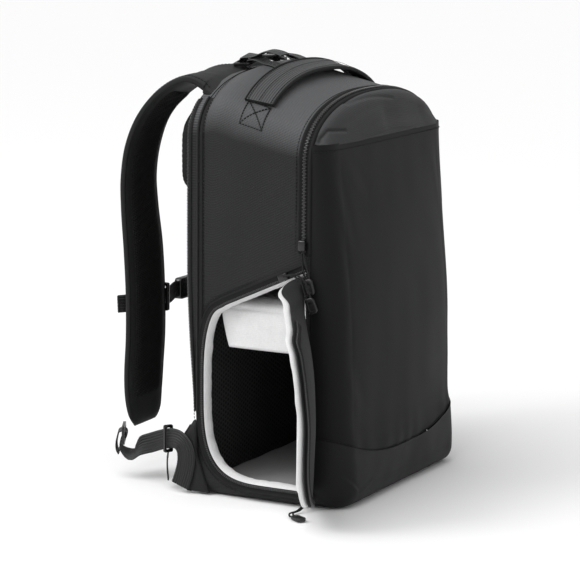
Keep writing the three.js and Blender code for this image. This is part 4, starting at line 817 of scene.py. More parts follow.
def flap_point(reach, z, out):
    """A place on the shut door (from the hinge, up, outwards) taken to the open door"""
    turn = flap_turn(z)
    share = reach / (DOOR_BACK_Y - DOOR_FRONT_Y)
    angle = turn + np.radians(FLAP_CURL) * share**2 * turn / (pi / 2)
    return np.stack([SIDE_X - 0.6 - reach * np.sin(angle) - out * np.cos(angle),
                     DOOR_FRONT_Y + reach * np.cos(angle) - out * np.sin(angle), z + 0 * reach], -1)


def door_reach(z):
    edge = beside(DOOR, -FLAP_CLEARANCE)
    a, b = edge[:-1], edge[1:]
    spans = (a[:, 1] - z) * (b[:, 1] - z) <= 0
    y = a[:, 0] + (z - a[:, 1]) * (b[:, 0] - a[:, 0]) / np.where(b[:, 1] == a[:, 1], 1e-9, b[:, 1] - a[:, 1])
    found = y[spans] - DOOR_FRONT_Y
    return float(found.max()) if len(found) else float(edge[:, 0].max() - DOOR_FRONT_Y)


def flap_layer(low_out, high_out, draw, soft):
    """Rings of a flap layer between two depths, its free edge rounded"""
    rings = []
    heights = np.concatenate([np.linspace(18.6, 30, 10)[:-1], np.linspace(30, 190, 70)[:-1],
                              np.linspace(190, 227.4, 34)])
    for k, z in enumerate(heights):
        turn = float(flap_turn(z))
        swing = 0.7 * abs(low_out) * sin(min(2 * turn, pi))
        far = max(door_reach(z) - swing - draw, 3.4)
        mid, deep = (low_out + high_out) / 2, (high_out - low_out) / 2
        end = min((z - 18.2) / 5, (227.8 - z) / 5, 1)
        deep *= math.sqrt(max(1 - (1 - end) ** 2, 0.05))
        a = np.linspace(0, 2 * pi, 57)[:-1]
        x = np.sign(np.cos(a)) * np.abs(np.cos(a)) ** 0.35
        y = np.sign(np.sin(a)) * np.abs(np.sin(a)) ** 0.5
        reach = mix(2.2, far, (1 + x) / 2)
        depth = mid + deep * y
        wave = soft * (sin(z / 6.3) * 0.5 + sin(z / 2.9 + 1) * 0.35) * np.clip(x, 0, 1)
        rings.append(flap_point(reach + wave, np.full(len(a), z), depth))
    return np.array(rings)


def make_door_cover():
    """Cloth on the outer side of the open door"""
    flap = Shape()
    cover = flap_layer(-FLAP_SKIN, 0, 0, 0.25)
    cover += unit(np.array([-0.4, -1, 0])) * (0.5 * ripple(cover, 26, 41, (1, 1, 0.5)))[..., None] * 0.6
    flap.tube(cover)
    flap.build("door_cover", [CROWN_CLOTH], ["door_flap"], sharp=70)


def make_door_padding():
    """Padded light side of the open door"""
    pad = Shape()
    inner = flap_layer(*FLAP_PAD_DEPTHS, 0.2, 0.8)
    pad.tube(inner)
    pad.build("door_padding", [LINING], ["door_pad"], sharp=70)


def make_flap_zip():
    """The door's half of the zip, along its free edge"""
    edge = beside(DOOR, -FLAP_CLEARANCE - 0.7)
    within = beside(DOOR, -FLAP_CLEARANCE - 0.7 - FLAP_ZIP_WIDTH)
    keep = (edge[:, 1] < DOOR_LOW + FLAP_ZIP_TOP * (DOOR_TOP - DOOR_LOW)) & (edge[:, 0] > DOOR_FRONT_Y + 3)
    edge, within = edge[keep], within[keep]
    flap_zip = Shape()
    rows = []
    for share, lift in ((0, 0.6), (0.05, 1.7), (0.5, 1.9), (0.9, 1.8), (1, 0.6)):
        p = mix(edge, within, share)
        rows.append(flap_point(p[:, 0] - DOOR_FRONT_Y, p[:, 1], np.full(len(p), lift)))
    flap_zip.grid(np.array(rows), 0)
    p = mix(edge, within, 0.1)
    path = flap_point(p[:, 0] - DOOR_FRONT_Y, p[:, 1], np.full(len(p), 2.1))
    lifted = flap_point(p[:, 0] - DOOR_FRONT_Y, p[:, 1], np.full(len(p), 3.1))
    flap_zip.beads(path, lifted - path, TOOTH_STEP, FLAP_TOOTH, 1)
    p = mix(edge, within, 0.8)
    path = flap_point(p[:, 0] - DOOR_FRONT_Y, p[:, 1], np.full(len(p), 2.0))
    flap_zip.beads(path, lifted - path, CLOSE_STITCH_STEP, FLAP_STITCH, 2)
    flap_zip.build("door_flap_zip_band", [TAPE, COIL, STITCH], ["door_flap_zip"], sharp=60)


# ---------------------------------------------------------------- front: pocket panel, hood and base
POCKET_DEPTH, SIDE_ROUND, TOP_ROUND, BASE_ROUND, BELLY = 38, 28, 34, 17, 6
POCKET = [(0, 1), (0.09, 1), (0.19, 0.9), (0.42, 0.8), (0.66, 0.58), (0.85, 0.39), (1, 0.36)]
SEAM = FRONT_Y - GAP


def pocket_depth(z):
    return POCKET_DEPTH * spline(POCKET, z / HEIGHT)


def smile_at(x):
    return mix(44, 70, np.minimum(np.abs(x) / HALF, 1) ** 2.5)


def belly(x, z):
    side = np.clip(1 - (np.abs(x) / (HALF - SIDE_ROUND)) ** 2, 0, 1)
    up = np.clip(np.sin(pi * np.clip((z - 20) / 345, 0, 1)), 0, 1) ** 0.8
    return BELLY * side**0.8 * up


a = np.linspace(0, pi / 2, 22)
arc_x, arc_k = -HALF + SIDE_ROUND * (1 - np.cos(a)), np.sin(a)
flat_x = np.linspace(arc_x[-1], -arc_x[-1], 110)[1:-1]
PROFILE_X = np.concatenate([arc_x, flat_x, -arc_x[::-1]])
PROFILE_K = np.concatenate([arc_k, np.ones(len(flat_x)), arc_k[::-1]])
turned_length = np.concatenate([SIDE_ROUND * (a - pi / 2), np.zeros(len(flat_x)), SIDE_ROUND * (pi / 2 - a[::-1])])
PROFILE_U = np.clip(PROFILE_X, arc_x[-1], -arc_x[-1]) + turned_length


def crease(x, z, x0, z0, x1, z1, width, depth):
    """A soft fold along a line on the front: a dent with a swell beside it"""
    line = np.array([x1 - x0, z1 - z0], float)
    long = np.linalg.norm(line)
    line /= long
    t = np.clip((x - x0) * line[0] + (z - z0) * line[1], 0, long)
    off = (x - x0) * -line[1] + (z - z0) * line[0]
    end = np.hypot(x - (x0 + t * line[0]), z - (z0 + t * line[1]))
    fade = np.sin(pi * np.clip(t / long, 0, 1)) ** 0.5
    return -depth * fade * np.exp(-((end / width) ** 2)) * np.sign(off + 0.001) * np.minimum(np.abs(off) / width, 1)


def front_face(z, proud=0.0):
    """Points of the front at heights z, one row for each height and one column for each place across"""
    x = np.broadcast_to(PROFILE_X, z.shape)
    k = np.broadcast_to(PROFILE_K, z.shape)
    y = SEAM - pocket_depth(z) * k - belly(x, z) * k**3
    p = np.stack([x, y, z], -1)
    n = unit(np.stack([np.sign(x) * (1 - k**2) ** 0.5 * 1.0, -k, 0 * x], -1))
    return p + n * proud, n


def make_front_panel():
    """Smooth front between the curved seam and the hood"""
    levels = np.linspace(0, 1, 130)[:, None]
    low = smile_at(PROFILE_X)[None]
    z = mix(low + 0.4, LIP_Z + 1.5, levels)
    panel_points, normal = front_face(z)
    x = panel_points[..., 0]
    rise = 0.8 * ripple(panel_points, 150, 51) + 0.15 * ripple(panel_points, 50, 52)
    for x0, z0, x1, z1, width, depth in (
            (-118, 335, -96, 250, 9, 0.8), (-122, 300, -108, 210, 7, 0.7), (-112, 190, -122, 110, 8, 0.7),
            (-116, 150, -90, 90, 10, 0.6), (-100, 345, -60, 300, 10, 0.5), (100, 330, 120, 240, 9, 0.6),
            (108, 160, 121, 100, 8, 0.6), (-60, 60, 20, 56, 7, 0.4), (30, 62, 90, 66, 7, 0.4)):
        rise = rise + crease(x, panel_points[..., 2], x0, z0, x1, z1, width, depth)
    fade = np.clip(np.minimum(levels, 1 - levels) * 24, 0, 1)
    pucker = 0.35 * np.sin(x / 4.3 + 1.5 * np.sin(x / 19)) * np.exp(-levels * 22)
    panel_points = panel_points + normal * ((rise * fade + pucker) * np.broadcast_to(PROFILE_K, z.shape))[..., None]
    panel_uv = np.stack([np.broadcast_to(PROFILE_U, z.shape), z], -1)
    panel = Shape()
    panel.grid(panel_points, uv=panel_uv)
    panel.build("front_panel", [COATED], ["front_pocket"], sharp=70)


def make_base():
    """Base from the curved seam down and under"""
    steps = 46
    drop_rows = []
    corner_low = 20 - np.sqrt(np.maximum(20**2 - np.maximum(20 - (HALF - np.abs(PROFILE_X)), 0) ** 2, 0))
    foot = corner_low + BASE_ROUND
    for t in np.linspace(0, 1, steps):
        if t < 0.6:
            z = mix(smile_at(PROFILE_X) + 0.8, foot, t / 0.6)
            y, k = None, np.ones(len(z))
        else:
            angle = (t - 0.6) / 0.4 * pi / 2
            z = foot - BASE_ROUND * sin(angle)
            k = np.full(len(z), cos(angle) ** 0.6)
        depth = pocket_depth(np.maximum(z, foot * 0 + 10)) * PROFILE_K
        hold = (SIDE_ROUND * 0.55) * PROFILE_K
        reach = np.where(k < 1, mix(np.minimum(hold, depth), depth, k), depth)
        y = SEAM - reach - belly(PROFILE_X, z) * PROFILE_K**3
        drop_rows.append(np.stack([PROFILE_X, y, np.maximum(z, 0.1)], 1))
    last = drop_rows[-1].copy()
    last[:, 1] = SEAM
    drop_rows.append(last)
    base_points = np.array(drop_rows)
    nx = np.sign(PROFILE_X) * (1 - PROFILE_K**2) ** 0.5
    normal = np.broadcast_to(unit(np.stack([nx, -PROFILE_K, 0 * nx], 1)), base_points.shape)
    swell = 0.7 * ripple(base_points, 90, 61) + 0.15 * ripple(base_points, 30, 62) + 0.8
    t = np.linspace(0, 1, len(base_points))[:, None]
    chevron_x, chevron_z = base_points[..., 0], base_points[..., 2]
    for x0, z0, x1, z1 in ((-124, 34, -104, 16), (-104, 16, -76, 22)):
        swell = swell + 2.2 * crease(chevron_x, chevron_z, x0, z0, x1, z1, 2.4, 0.5)
    swell = swell * np.clip((1 - t) * 9, 0, 1) + 0.5 * np.exp(-t * 30)
    base_points = base_points + normal * (swell * np.broadcast_to(PROFILE_K, base_points.shape[:2]))[..., None]
    base_points[..., 2] = np.maximum(base_points[..., 2], 0.1)
    base_uv = np.stack([np.broadcast_to(PROFILE_U, base_points.shape[:2]), lengths(base_points, False)[..., 1]], -1)
    base = Shape()
    base.grid(base_points, uv=base_uv)
    base.build("base_cloth", [BASE_CLOTH], ["base_panel"], sharp=70)


def make_front_stitching():
    """Stitching along the seams above and below the front panel"""
    seam_z = smile_at(PROFILE_X)[None]
    path, outs = front_face(seam_z + 1.8, 0.5)
    trim = Shape()
    trim.beads(path[0], outs[0], STITCH_STEP, FRONT_STITCH)
    path, outs = front_face(np.full((1, len(PROFILE_X)), LIP_Z - 5.0), 0.4)
    trim.beads(path[0], outs[0], STITCH_STEP, FRONT_STITCH)
    trim.build("front_stitching", [STITCH])


def pressed(x, z, points, width, depth):
    """A line pressed into the hood through points (x, z)"""
    total = np.zeros(x.shape)
    for (x0, z0), (x1, z1) in zip(points, points[1:]):
        line = np.array([x1 - x0, z1 - z0], float)
        long = max(np.linalg.norm(line), 1e-6)
        s = np.clip(((x - x0) * line[0] + (z - z0) * line[1]) / long**2, 0, 1)
        away = np.hypot(x - x0 - s * line[0], z - z0 - s * line[1])
        total = np.maximum(total, np.exp(-((away / width) ** 2)))
    return -depth * total


def make_hood():
    """Cloth from the seam over the arch forward and down to its lip"""
    ring = outline(FRONT_Y, steps=HOOD_OUTLINE_STEPS)
    ring = ring[ring[:, 1] > LIP_Z + 0.5]
    ring = ring[np.argsort(ring[:, 0])]
    crown = float(crown_at(FRONT_Y))
    rows = []
    steps = 44
    lip_ratio = LIP_Z / ring[:, 1]
    share_end = np.clip((1 - lip_ratio) * crown / TOP_ROUND, 0, 1)
    for t in np.linspace(0, 1, steps):
        bent = np.minimum(t / 0.8, 1)
        angle_end = np.arccos(1 - share_end)
        angle = angle_end * bent
        share = 1 - np.cos(angle)
        x = ring[:, 0] * (1 - SIDE_ROUND * share / HALF)
        z = ring[:, 1] * (1 - TOP_ROUND * share / crown)
        y = SEAM - pocket_depth(z) * np.sin(angle)
        over = max(t - 0.8, 0) / 0.2
        z = mix(z, LIP_Z + 0.2, over)
        y = np.where(over > 0, SEAM - pocket_depth(z) * np.sin(angle_end), y)
        rows.append(np.stack([x, y - belly(x, z) * np.sin(angle) * 0.6, z], 1))
    hood_points = np.array(rows)
    du = np.gradient(hood_points, axis=1)
    dv = np.gradient(hood_points, axis=0)
    normal = unit(np.cross(du, dv))
    normal *= np.sign(normal[..., 1:2] * -1 + normal[..., 2:3])
    t = np.linspace(0, 1, steps)[:, None]
    x, z = hood_points[..., 0], hood_points[..., 2]
    proud = 0.4 + 2.4 * np.clip((t - 0.45) / 0.35, 0, 1)
    proud = proud * np.sqrt(np.clip((1.02 - t) / 0.06, 0.05, 1))
    proud = proud + 0.5 * ripple(hood_points, 70, 71) * np.clip(t * 5, 0, 1) * np.clip((1 - t) * 8, 0, 1)
    proud = proud + pressed(x, z, [(-127, 357.5), (-124, 361), (-114, 367.5), (-91, 365.5)], 1.5, 1.5)
    arc = [(-70, 389), (-50, 391.5), (-30, 392.5), (-5, 391.5), (20, 388)]
    proud = proud + pressed(x, z, arc, 1.6, 1.1)
    proud = proud + pressed(x, z, [(0, 372), (40, 371), (76, 368)], 13, 2.6)
    hood_points = hood_points + normal * proud[..., None]
    hood = Shape()
    hood.grid(hood_points)
    lip_back = hood_points[-1].copy()
    lip_back[:, 1] += 2.6
    lip_back[:, 2] += 1.2
    hood.grid(np.array([hood_points[-1], lip_back]))
    hood.build("hood", [HOOD_CLOTH], ["pocket_hood"], sharp=70)


# ---------------------------------------------------------------- zip over the shoulder
ZIP_END_Z, ZIP_STEP = 250, 2.2


def over_arch(y, end_z, steps=ZIP_OUTLINE_STEPS):
    ring = outline(y, steps=steps)
    ring = ring[ring[:, 1] > end_z]
    right = ring[ring[:, 0] > 0]
    left = ring[ring[:, 0] <= 0]
    return np.concatenate([right, left])


def along_arch(y, lift):
    return on_ring(over_arch(y, ZIP_END_Z), y, lift)


def make_front_zip():
    """Zip over the shoulder, with piping on both sides"""
    front_zip = Shape()
    zip_rows = []
    for y, lift in ((-24.6, 0.2), (-25.4, 1.5), (-26.6, 2.1), (-27.8, 1.6), (-28.6, 0.9), (-30.4, 1.1),
                    (-33.6, 1.1), (-35.4, 0.9), (-36.2, 1.6), (-37.4, 2.1), (-38.6, 1.5), (-39.2, 0.2)):
        zip_rows.append(even(along_arch(y, lift), ZIP_STEP))
    fewest = min(len(row) for row in zip_rows)
    places = [np.linspace(0, len(row) - 1, fewest).round().astype(int) for row in zip_rows]
    zip_rows = np.array([even(row, ZIP_STEP)[at] for row, at in zip(zip_rows, places)])
    front_zip.grid(zip_rows, 0)
    path = along_arch(-32, 1.9)
    outs = ring_outward(over_arch(-32, ZIP_END_Z))
    front_zip.beads(path, outs, COIL_STEP, COIL_BEAD, 1, sway=0.5)
    front_zip.build("front_zip_band", [TAPE, COIL], ["front_zip"], sharp=60)


# ---------------------------------------------------------------- back panel, piping, zips and pads
PANEL = [(0, 0.2), (0.19, 0.25), (0.36, 0.72), (0.52, 1), (1, 1)]
BACK_ZIP_LOW, BACK_ZIP_STOP = 82, 113
PIPING = 1.3


def panel_share(z):
    return spline(PANEL, z / HEIGHT)


def panel_face(z):
    return BACK_Y + 0.3 + 14 * panel_share(z)


def make_back_panel():
    """Padded wall against the wearer"""
    back_shape = Shape()
    rows = []
    for t in np.linspace(0, 1, 9):
        depth = mix(0, 8, min(t * 2, 1)) + 6 * sin(max(t * 2 - 1, 0) * pi / 2)
        edge_in = 0.6 + 6 * (1 - cos(max(t * 2 - 1, 0) * pi / 2))
        ring = outline(BACK_Y, edge_in)
        rows.append(np.stack([ring[:, 0], BACK_Y + 0.3 + depth * panel_share(ring[:, 1]), ring[:, 1]], 1))
    ring = outline(BACK_Y, 6.6)
    for share in np.linspace(0, 1, 24)[1:]:
        z = mix(ring[:, 1], np.clip(ring[:, 1], 110, 300), share)
        rows.append(np.stack([ring[:, 0] * (1 - share), panel_face(z), z], 1))
    rows = np.array(rows)
    rows[..., 1] += 0.5 * ripple(rows, 60, 81)
    back_shape.grid(rows, around=True)
    back_shape.build("back_cloth", [RIPSTOP], ["back_panel"], sharp=60)


def make_back_edges():
    """Piping and zip round the back panel, on both sides"""
    ring = outline(BACK_Y, steps=ZIP_OUTLINE_STEPS)
    side_ring = ring[(ring[:, 0] > BACK_ZIP_STOP) & (ring[:, 1] > BACK_ZIP_LOW)]
    for sign, side_name in ((-1, "near"), (1, "far")):
        flip = np.array([sign, 1, 1])
        circle_at = np.linspace(0, 2 * pi, 13)[:-1]
        r = side_ring
        piping = Shape()
        rings = []
        for q in r:
            out_by = 1.5 + PIPING * np.cos(circle_at)
            ring = np.stack([q[0] + q[2] * out_by, BACK_Y + PIPING * np.sin(circle_at), q[1] + q[3] * out_by], 1)
            rings.append(ring * flip)
        piping.tube(np.array(rings))
        flange = []
        for y, lift in ((BACK_Y - 4.6, 0.15), (BACK_Y - 3.4, 0.9), (BACK_Y - 1.6, 1.2), (BACK_Y - 0.4, 0.8)):
            flange.append(on_ring(r, y, lift) * flip)
        piping.grid(np.array(flange), 0)
        piping.build(side_name + "_back_edge", [BINDING], [side_name + "_back_piping"], sharp=60)
        tape = Shape()
        share = panel_share(r[:, 1])
        slope = unit(np.stack([6 * share, np.full(len(r), 5.7)], 1))
        inset_by, depth = 3.6, 11 * share

        def on_edge(across_by, out_by):
            outwards = -inset_by + slope[:, 0] * out_by - slope[:, 1] * across_by
            behind = 0.3 + depth + slope[:, 1] * out_by + slope[:, 0] * across_by
            return np.stack([r[:, 0] + r[:, 2] * outwards, BACK_Y + behind, r[:, 1] + r[:, 3] * outwards], 1) * flip

        tape.grid(np.array([on_edge(c, o) for c, o in (
            (-5.2, 0.4), (-4.4, 1.5), (-3.4, 1.9), (-2.4, 1.4), (0, 1.5), (2.4, 1.4), (3.2, 1.7), (3.8, 0.6))]), 0)
        tape.beads(on_edge(0, 2.3), on_edge(0, 3.3) - on_edge(0, 2.3), COIL_STEP, COIL_BEAD, 1, sway=0.5)
        tape.build(side_name + "_back_zip_band", [TAPE, COIL], [side_name + "_back_zip"], sharp=60)


PAD_SHRINK, PAD_VOXEL, PAD_CAP, PAD_PRESSURE, PAD_FRAMES = 0.985, 5, 5, 4.0, 20


def simulated_pad(name, cad):
    """A pad swelled by cloth simulation from the form of its node, then woven with ribs"""
    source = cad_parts[cad]
    mesh = source.data.copy()
    mesh.name = name
    mesh.materials.clear()
    mesh.materials.append(AIR_MESH)
    piece = bpy.data.objects.new(name, mesh)
    bpy.context.scene.collection.objects.link(piece)
    middle = sum((v.co for v in mesh.vertices), Vector()) / len(mesh.vertices)
    for v in mesh.vertices:
        v.co = middle + (v.co - middle) * Vector((PAD_SHRINK, 1, PAD_SHRINK))
    bpy.context.view_layer.objects.active = piece
    piece.select_set(True)
    remesh = piece.modifiers.new("remesh", "REMESH")
    remesh.mode, remesh.voxel_size = "VOXEL", PAD_VOXEL * MM
    bpy.ops.object.modifier_apply(modifier="remesh")
    count = len(piece.data.vertices)
    before = np.zeros(count * 3)
    piece.data.vertices.foreach_get("co", before)
    before = before.reshape(-1, 3)
    swell = piece.modifiers.new("cloth", "CLOTH")
    swell.settings.use_pressure = True
    swell.settings.uniform_pressure_force = PAD_PRESSURE
    swell.settings.effector_weights.gravity = 0
    swell.settings.quality = 5
    swell.point_cache.frame_end = PAD_FRAMES
    for step in range(1, PAD_FRAMES + 1):
        bpy.context.scene.frame_set(step)
    posed = piece.evaluated_get(bpy.context.evaluated_depsgraph_get())
    after = np.zeros(count * 3)
    posed.data.vertices.foreach_get("co", after)
    piece.modifiers.remove(swell)
    bpy.context.scene.frame_set(1)
    move = after.reshape(-1, 3) - before
    far = np.linalg.norm(move, axis=1, keepdims=True)
    move *= np.minimum(1, PAD_CAP * MM / np.maximum(far, 1e-9))
    move[:, 1] = np.where(move[:, 1] < 0, 0, move[:, 1])
    before = before + move
    piece.data.vertices.foreach_set("co", before.ravel())
    finer = piece.modifiers.new("finer", "SUBSURF")
    finer.levels = finer.render_levels = 2
    bpy.ops.object.modifier_apply(modifier="finer")
    piece.select_set(False)
    mesh = piece.data
    co = np.zeros(len(mesh.vertices) * 3)
    mesh.vertices.foreach_get("co", co)
    co = co.reshape(-1, 3) / MM
    nrm = np.zeros(len(mesh.vertices) * 3)
    mesh.vertices.foreach_get("normal", nrm)
    nrm = nrm.reshape(-1, 3)
    outward = np.clip(nrm[:, 1], 0, 1)
    middle = (co.max(0) + co.min(0)) / 2
    groove = np.zeros(len(co))
    for offset in (-55, 0, 55):
        away = np.abs(co[:, 0] - offset)
        groove += 2.6 * np.exp(-((away / 3.2) ** 2))
    high = (co[:, 2] - middle[2]) / (co[:, 2].max() - middle[2])
    groove *= np.clip((1 - high**6) * 2, 0, 1)
    ribs_ = 0.28 * np.sin((np.abs(co[:, 0]) + co[:, 2]) * (2 * pi / 5.2))
    co = co + nrm * (ribs_ - groove * outward)[:, None]
    mesh.vertices.foreach_set("co", (co * MM).ravel())
    layer = mesh.uv_layers.new(name="UVMap")
    loop_at = np.zeros(len(mesh.loops), int)
    mesh.loops.foreach_get("vertex_index", loop_at)
    u = co[:, 0] + np.where(np.abs(nrm[:, 0]) > 0.6, co[:, 1], 0)
    v = co[:, 2] + np.where(np.abs(nrm[:, 2]) > 0.6, co[:, 1], 0)
    layer.data.foreach_set("uv", np.stack([u, v], 1)[loop_at].ravel())
    mesh.polygons.foreach_set("use_smooth", [True] * len(mesh.polygons))
    return settle(piece, [cad])


# ---------------------------------------------------------------- grab handle
HANDLE_HALF, HANDLE_Y, HANDLE_WIDTH, HANDLE_THICK = 113, 30, 30, 3.4
HANDLE_BOX = (112, 131), (18, 42)


def make_handle():
    """Folded webbing handle with bound edges"""
    slope = float(crown_at(HANDLE_Y + 10) - crown_at(HANDLE_Y - 10)) / 20
    x = np.linspace(-HANDLE_HALF, HANDLE_HALF, 150)
    rise = 1 - np.abs(x / HANDLE_HALF) ** 2.2
    z = float(crown_at(HANDLE_Y)) - arch_drop(x) + 0.3 + 1 + HANDLE_THICK / 2 + 5 * rise
    places = np.stack([x, np.full(len(x), HANDLE_Y), z], 1)
    ribs = 8
    c = np.linspace(-1, 1, 8 * ribs + 1)
    sections = []
    for k in range(len(x)):
        folded = np.clip(abs(x[k]) / HANDLE_HALF * 1.6 - 0.35, 0, 1)
        half = HANDLE_WIDTH / 2 * mix(0.92, 1.0, folded)
        deep = HANDLE_THICK / 2
        dome = 1.1 * (1 - folded) * np.cos(pi * c / 2)
        ridge = 0.45 * np.abs(np.sin(pi * (c + 1) * ribs / 2)) * (0.55 + 0.45 * folded) - 0.3
        brim = np.clip(1 - np.abs(c) ** 16, 0.3, 1)
        top = np.stack([c * half, deep * brim + ridge + dome], 1)
        under = np.stack([c[::-1] * half, -deep * brim[::-1] + 0.35 * dome[::-1]], 1)
        sections.append(np.concatenate([top, under]))
    sections = np.array(sections)
    rings, wide_at, out_at = swept(places, (0, 1, slope), sections)
    handle = Shape()
    handle.tube(rings)
    out_sign = np.sign(out_at[len(x) // 2, 2])
    for edge_at in (-HANDLE_WIDTH / 2 + 0.4, HANDLE_WIDTH / 2 - 0.4):
        spots = circle(10) * (1.2, 2.0) + (edge_at, -0.2)
        tube_rings, _, _ = swept(places, (0, 1, slope), spots)
        handle.tube(tube_rings, 1)
    for edge_at in (-HANDLE_WIDTH / 2 + 3.2, HANDLE_WIDTH / 2 - 3.2, 0.0):
        lift = HANDLE_THICK / 2 + (1.15 if edge_at == 0 else 0.55)
        path = places + wide_at * edge_at + out_at * lift * out_sign
        handle.beads(path, out_at * out_sign, CLOSE_STITCH_STEP, HANDLE_STITCH, 2)
    handle.build("handle", [WEBBING, BINDING, STITCH], ["grab_handle"], sharp=60)


def make_handle_stitching():
    """Crossed boxes of stitching beyond the handle's ends"""
    stitched = Shape()
    for sign in (-1, 1):
        (x0, x1), (y0, y1) = HANDLE_BOX
        corners = [(x0, y0), (x1, y0), (x1, y1), (x0, y1)]
        lines = [corners[k:k + 1] + [corners[(k + 1) % 4]] for k in range(4)]
        lines += [[corners[0], corners[2]], [corners[1], corners[3]]]
        for (xa, ya), (xb, yb) in lines:
            t = np.linspace(0, 1, 14)
            px, py = mix(xa, xb, t) * sign, mix(ya, yb, t)
            drop = arch_drop(px)
            pz = crown_at(py) - drop + 0.55
            lean = np.gradient(arch_drop(px), px) if abs(xb - xa) > 1 else (
                arch_drop(px + 0.5) - arch_drop(px - 0.5))
            nrm = unit(np.stack([lean, 0 * px, np.ones(len(px))], 1))
            stitched.beads(np.stack([px, py, pz], 1) + nrm * 0.2, nrm, BOX_STITCH_STEP, BOX_STITCH)
    stitched.build("handle_end_stitching", [STITCH])


# ---------------------------------------------------------------- shoulder straps
STRAP_REACH, STRAP_WIDTH, STRAP_THICK = 100, 88, 10
STRAP = np.array([
    # back, up, out, wide, thick, lean, turn
    (0.03, 0.967, 0.476, 1, 1, 12, 0),
    (0.18, 0.979, 0.489, 0.95, 1, 9, 0),
    (0.4, 0.976, 0.533, 0.84, 1, 3, 0),
    (0.65, 0.938, 0.585, 0.73, 1, 0, 0),
    (0.85, 0.88, 0.617, 0.68, 1, 0, 0),
    (0.97, 0.808, 0.63, 0.66, 1, 0, 2),
    (1.02, 0.729, 0.634, 0.66, 1, 0, 2),
    (1.01, 0.652, 0.632, 0.67, 1, 0, 3),
    (0.965, 0.557, 0.637, 0.71, 1, 0, 3),
    (0.94, 0.452, 0.637, 0.7, 1, 0, 4),
    (0.935, 0.348, 0.64, 0.69, 1, 0, 5),
    (0.955, 0.262, 0.64, 0.67, 1, 0, 6),
    (0.965, 0.2, 0.63, 0.62, 0.95, 0, 7),
    (0.96, 0.152, 0.61, 0.52, 0.8, 0, 9),
    (0.95, 0.122, 0.6, 0.34, 0.5, 0, 12),
])
STRAP_FINE = 14
stations = np.linspace(0, len(STRAP) - 1, (len(STRAP) - 1) * STRAP_FINE + 1)
rows_at = [[k, *row] for k, row in enumerate(STRAP)]
strap_rows = np.stack([spline(rows_at, stations, key) for key in range(1, 8)], 1)
s_back, s_up, s_out, s_wide, s_thick, s_lean, s_turn = strap_rows.T
strap_places = np.stack([-s_out * HALF, BACK_Y + s_back * STRAP_REACH, s_up * HEIGHT], 1)
run = unit(np.gradient(strap_places, axis=0))
lean, turn = np.radians(s_lean), np.radians(s_turn)
strap_side = np.stack([np.cos(lean) * np.cos(turn), -np.sin(turn), np.sin(lean)], 1)
strap_side = unit(strap_side - run * dot(strap_side, run))
strap_out = np.cross(strap_side, run)


def on_strap(z, across_by, out_by):
    """A place on the near strap at a height: across as a share of half its width, and outwards"""
    low = np.where((np.arange(len(strap_places)) > len(strap_places) / 4) & (strap_places[:, 2] < z))[0][0]
    share = (strap_places[low - 1, 2] - z) / (strap_places[low - 1, 2] - strap_places[low, 2])
    spot = mix(strap_places[low - 1], strap_places[low], share)
    half = mix(s_wide[low - 1], s_wide[low], share) * STRAP_WIDTH / 2
    return spot + strap_side[low] * half * across_by + strap_out[low] * out_by


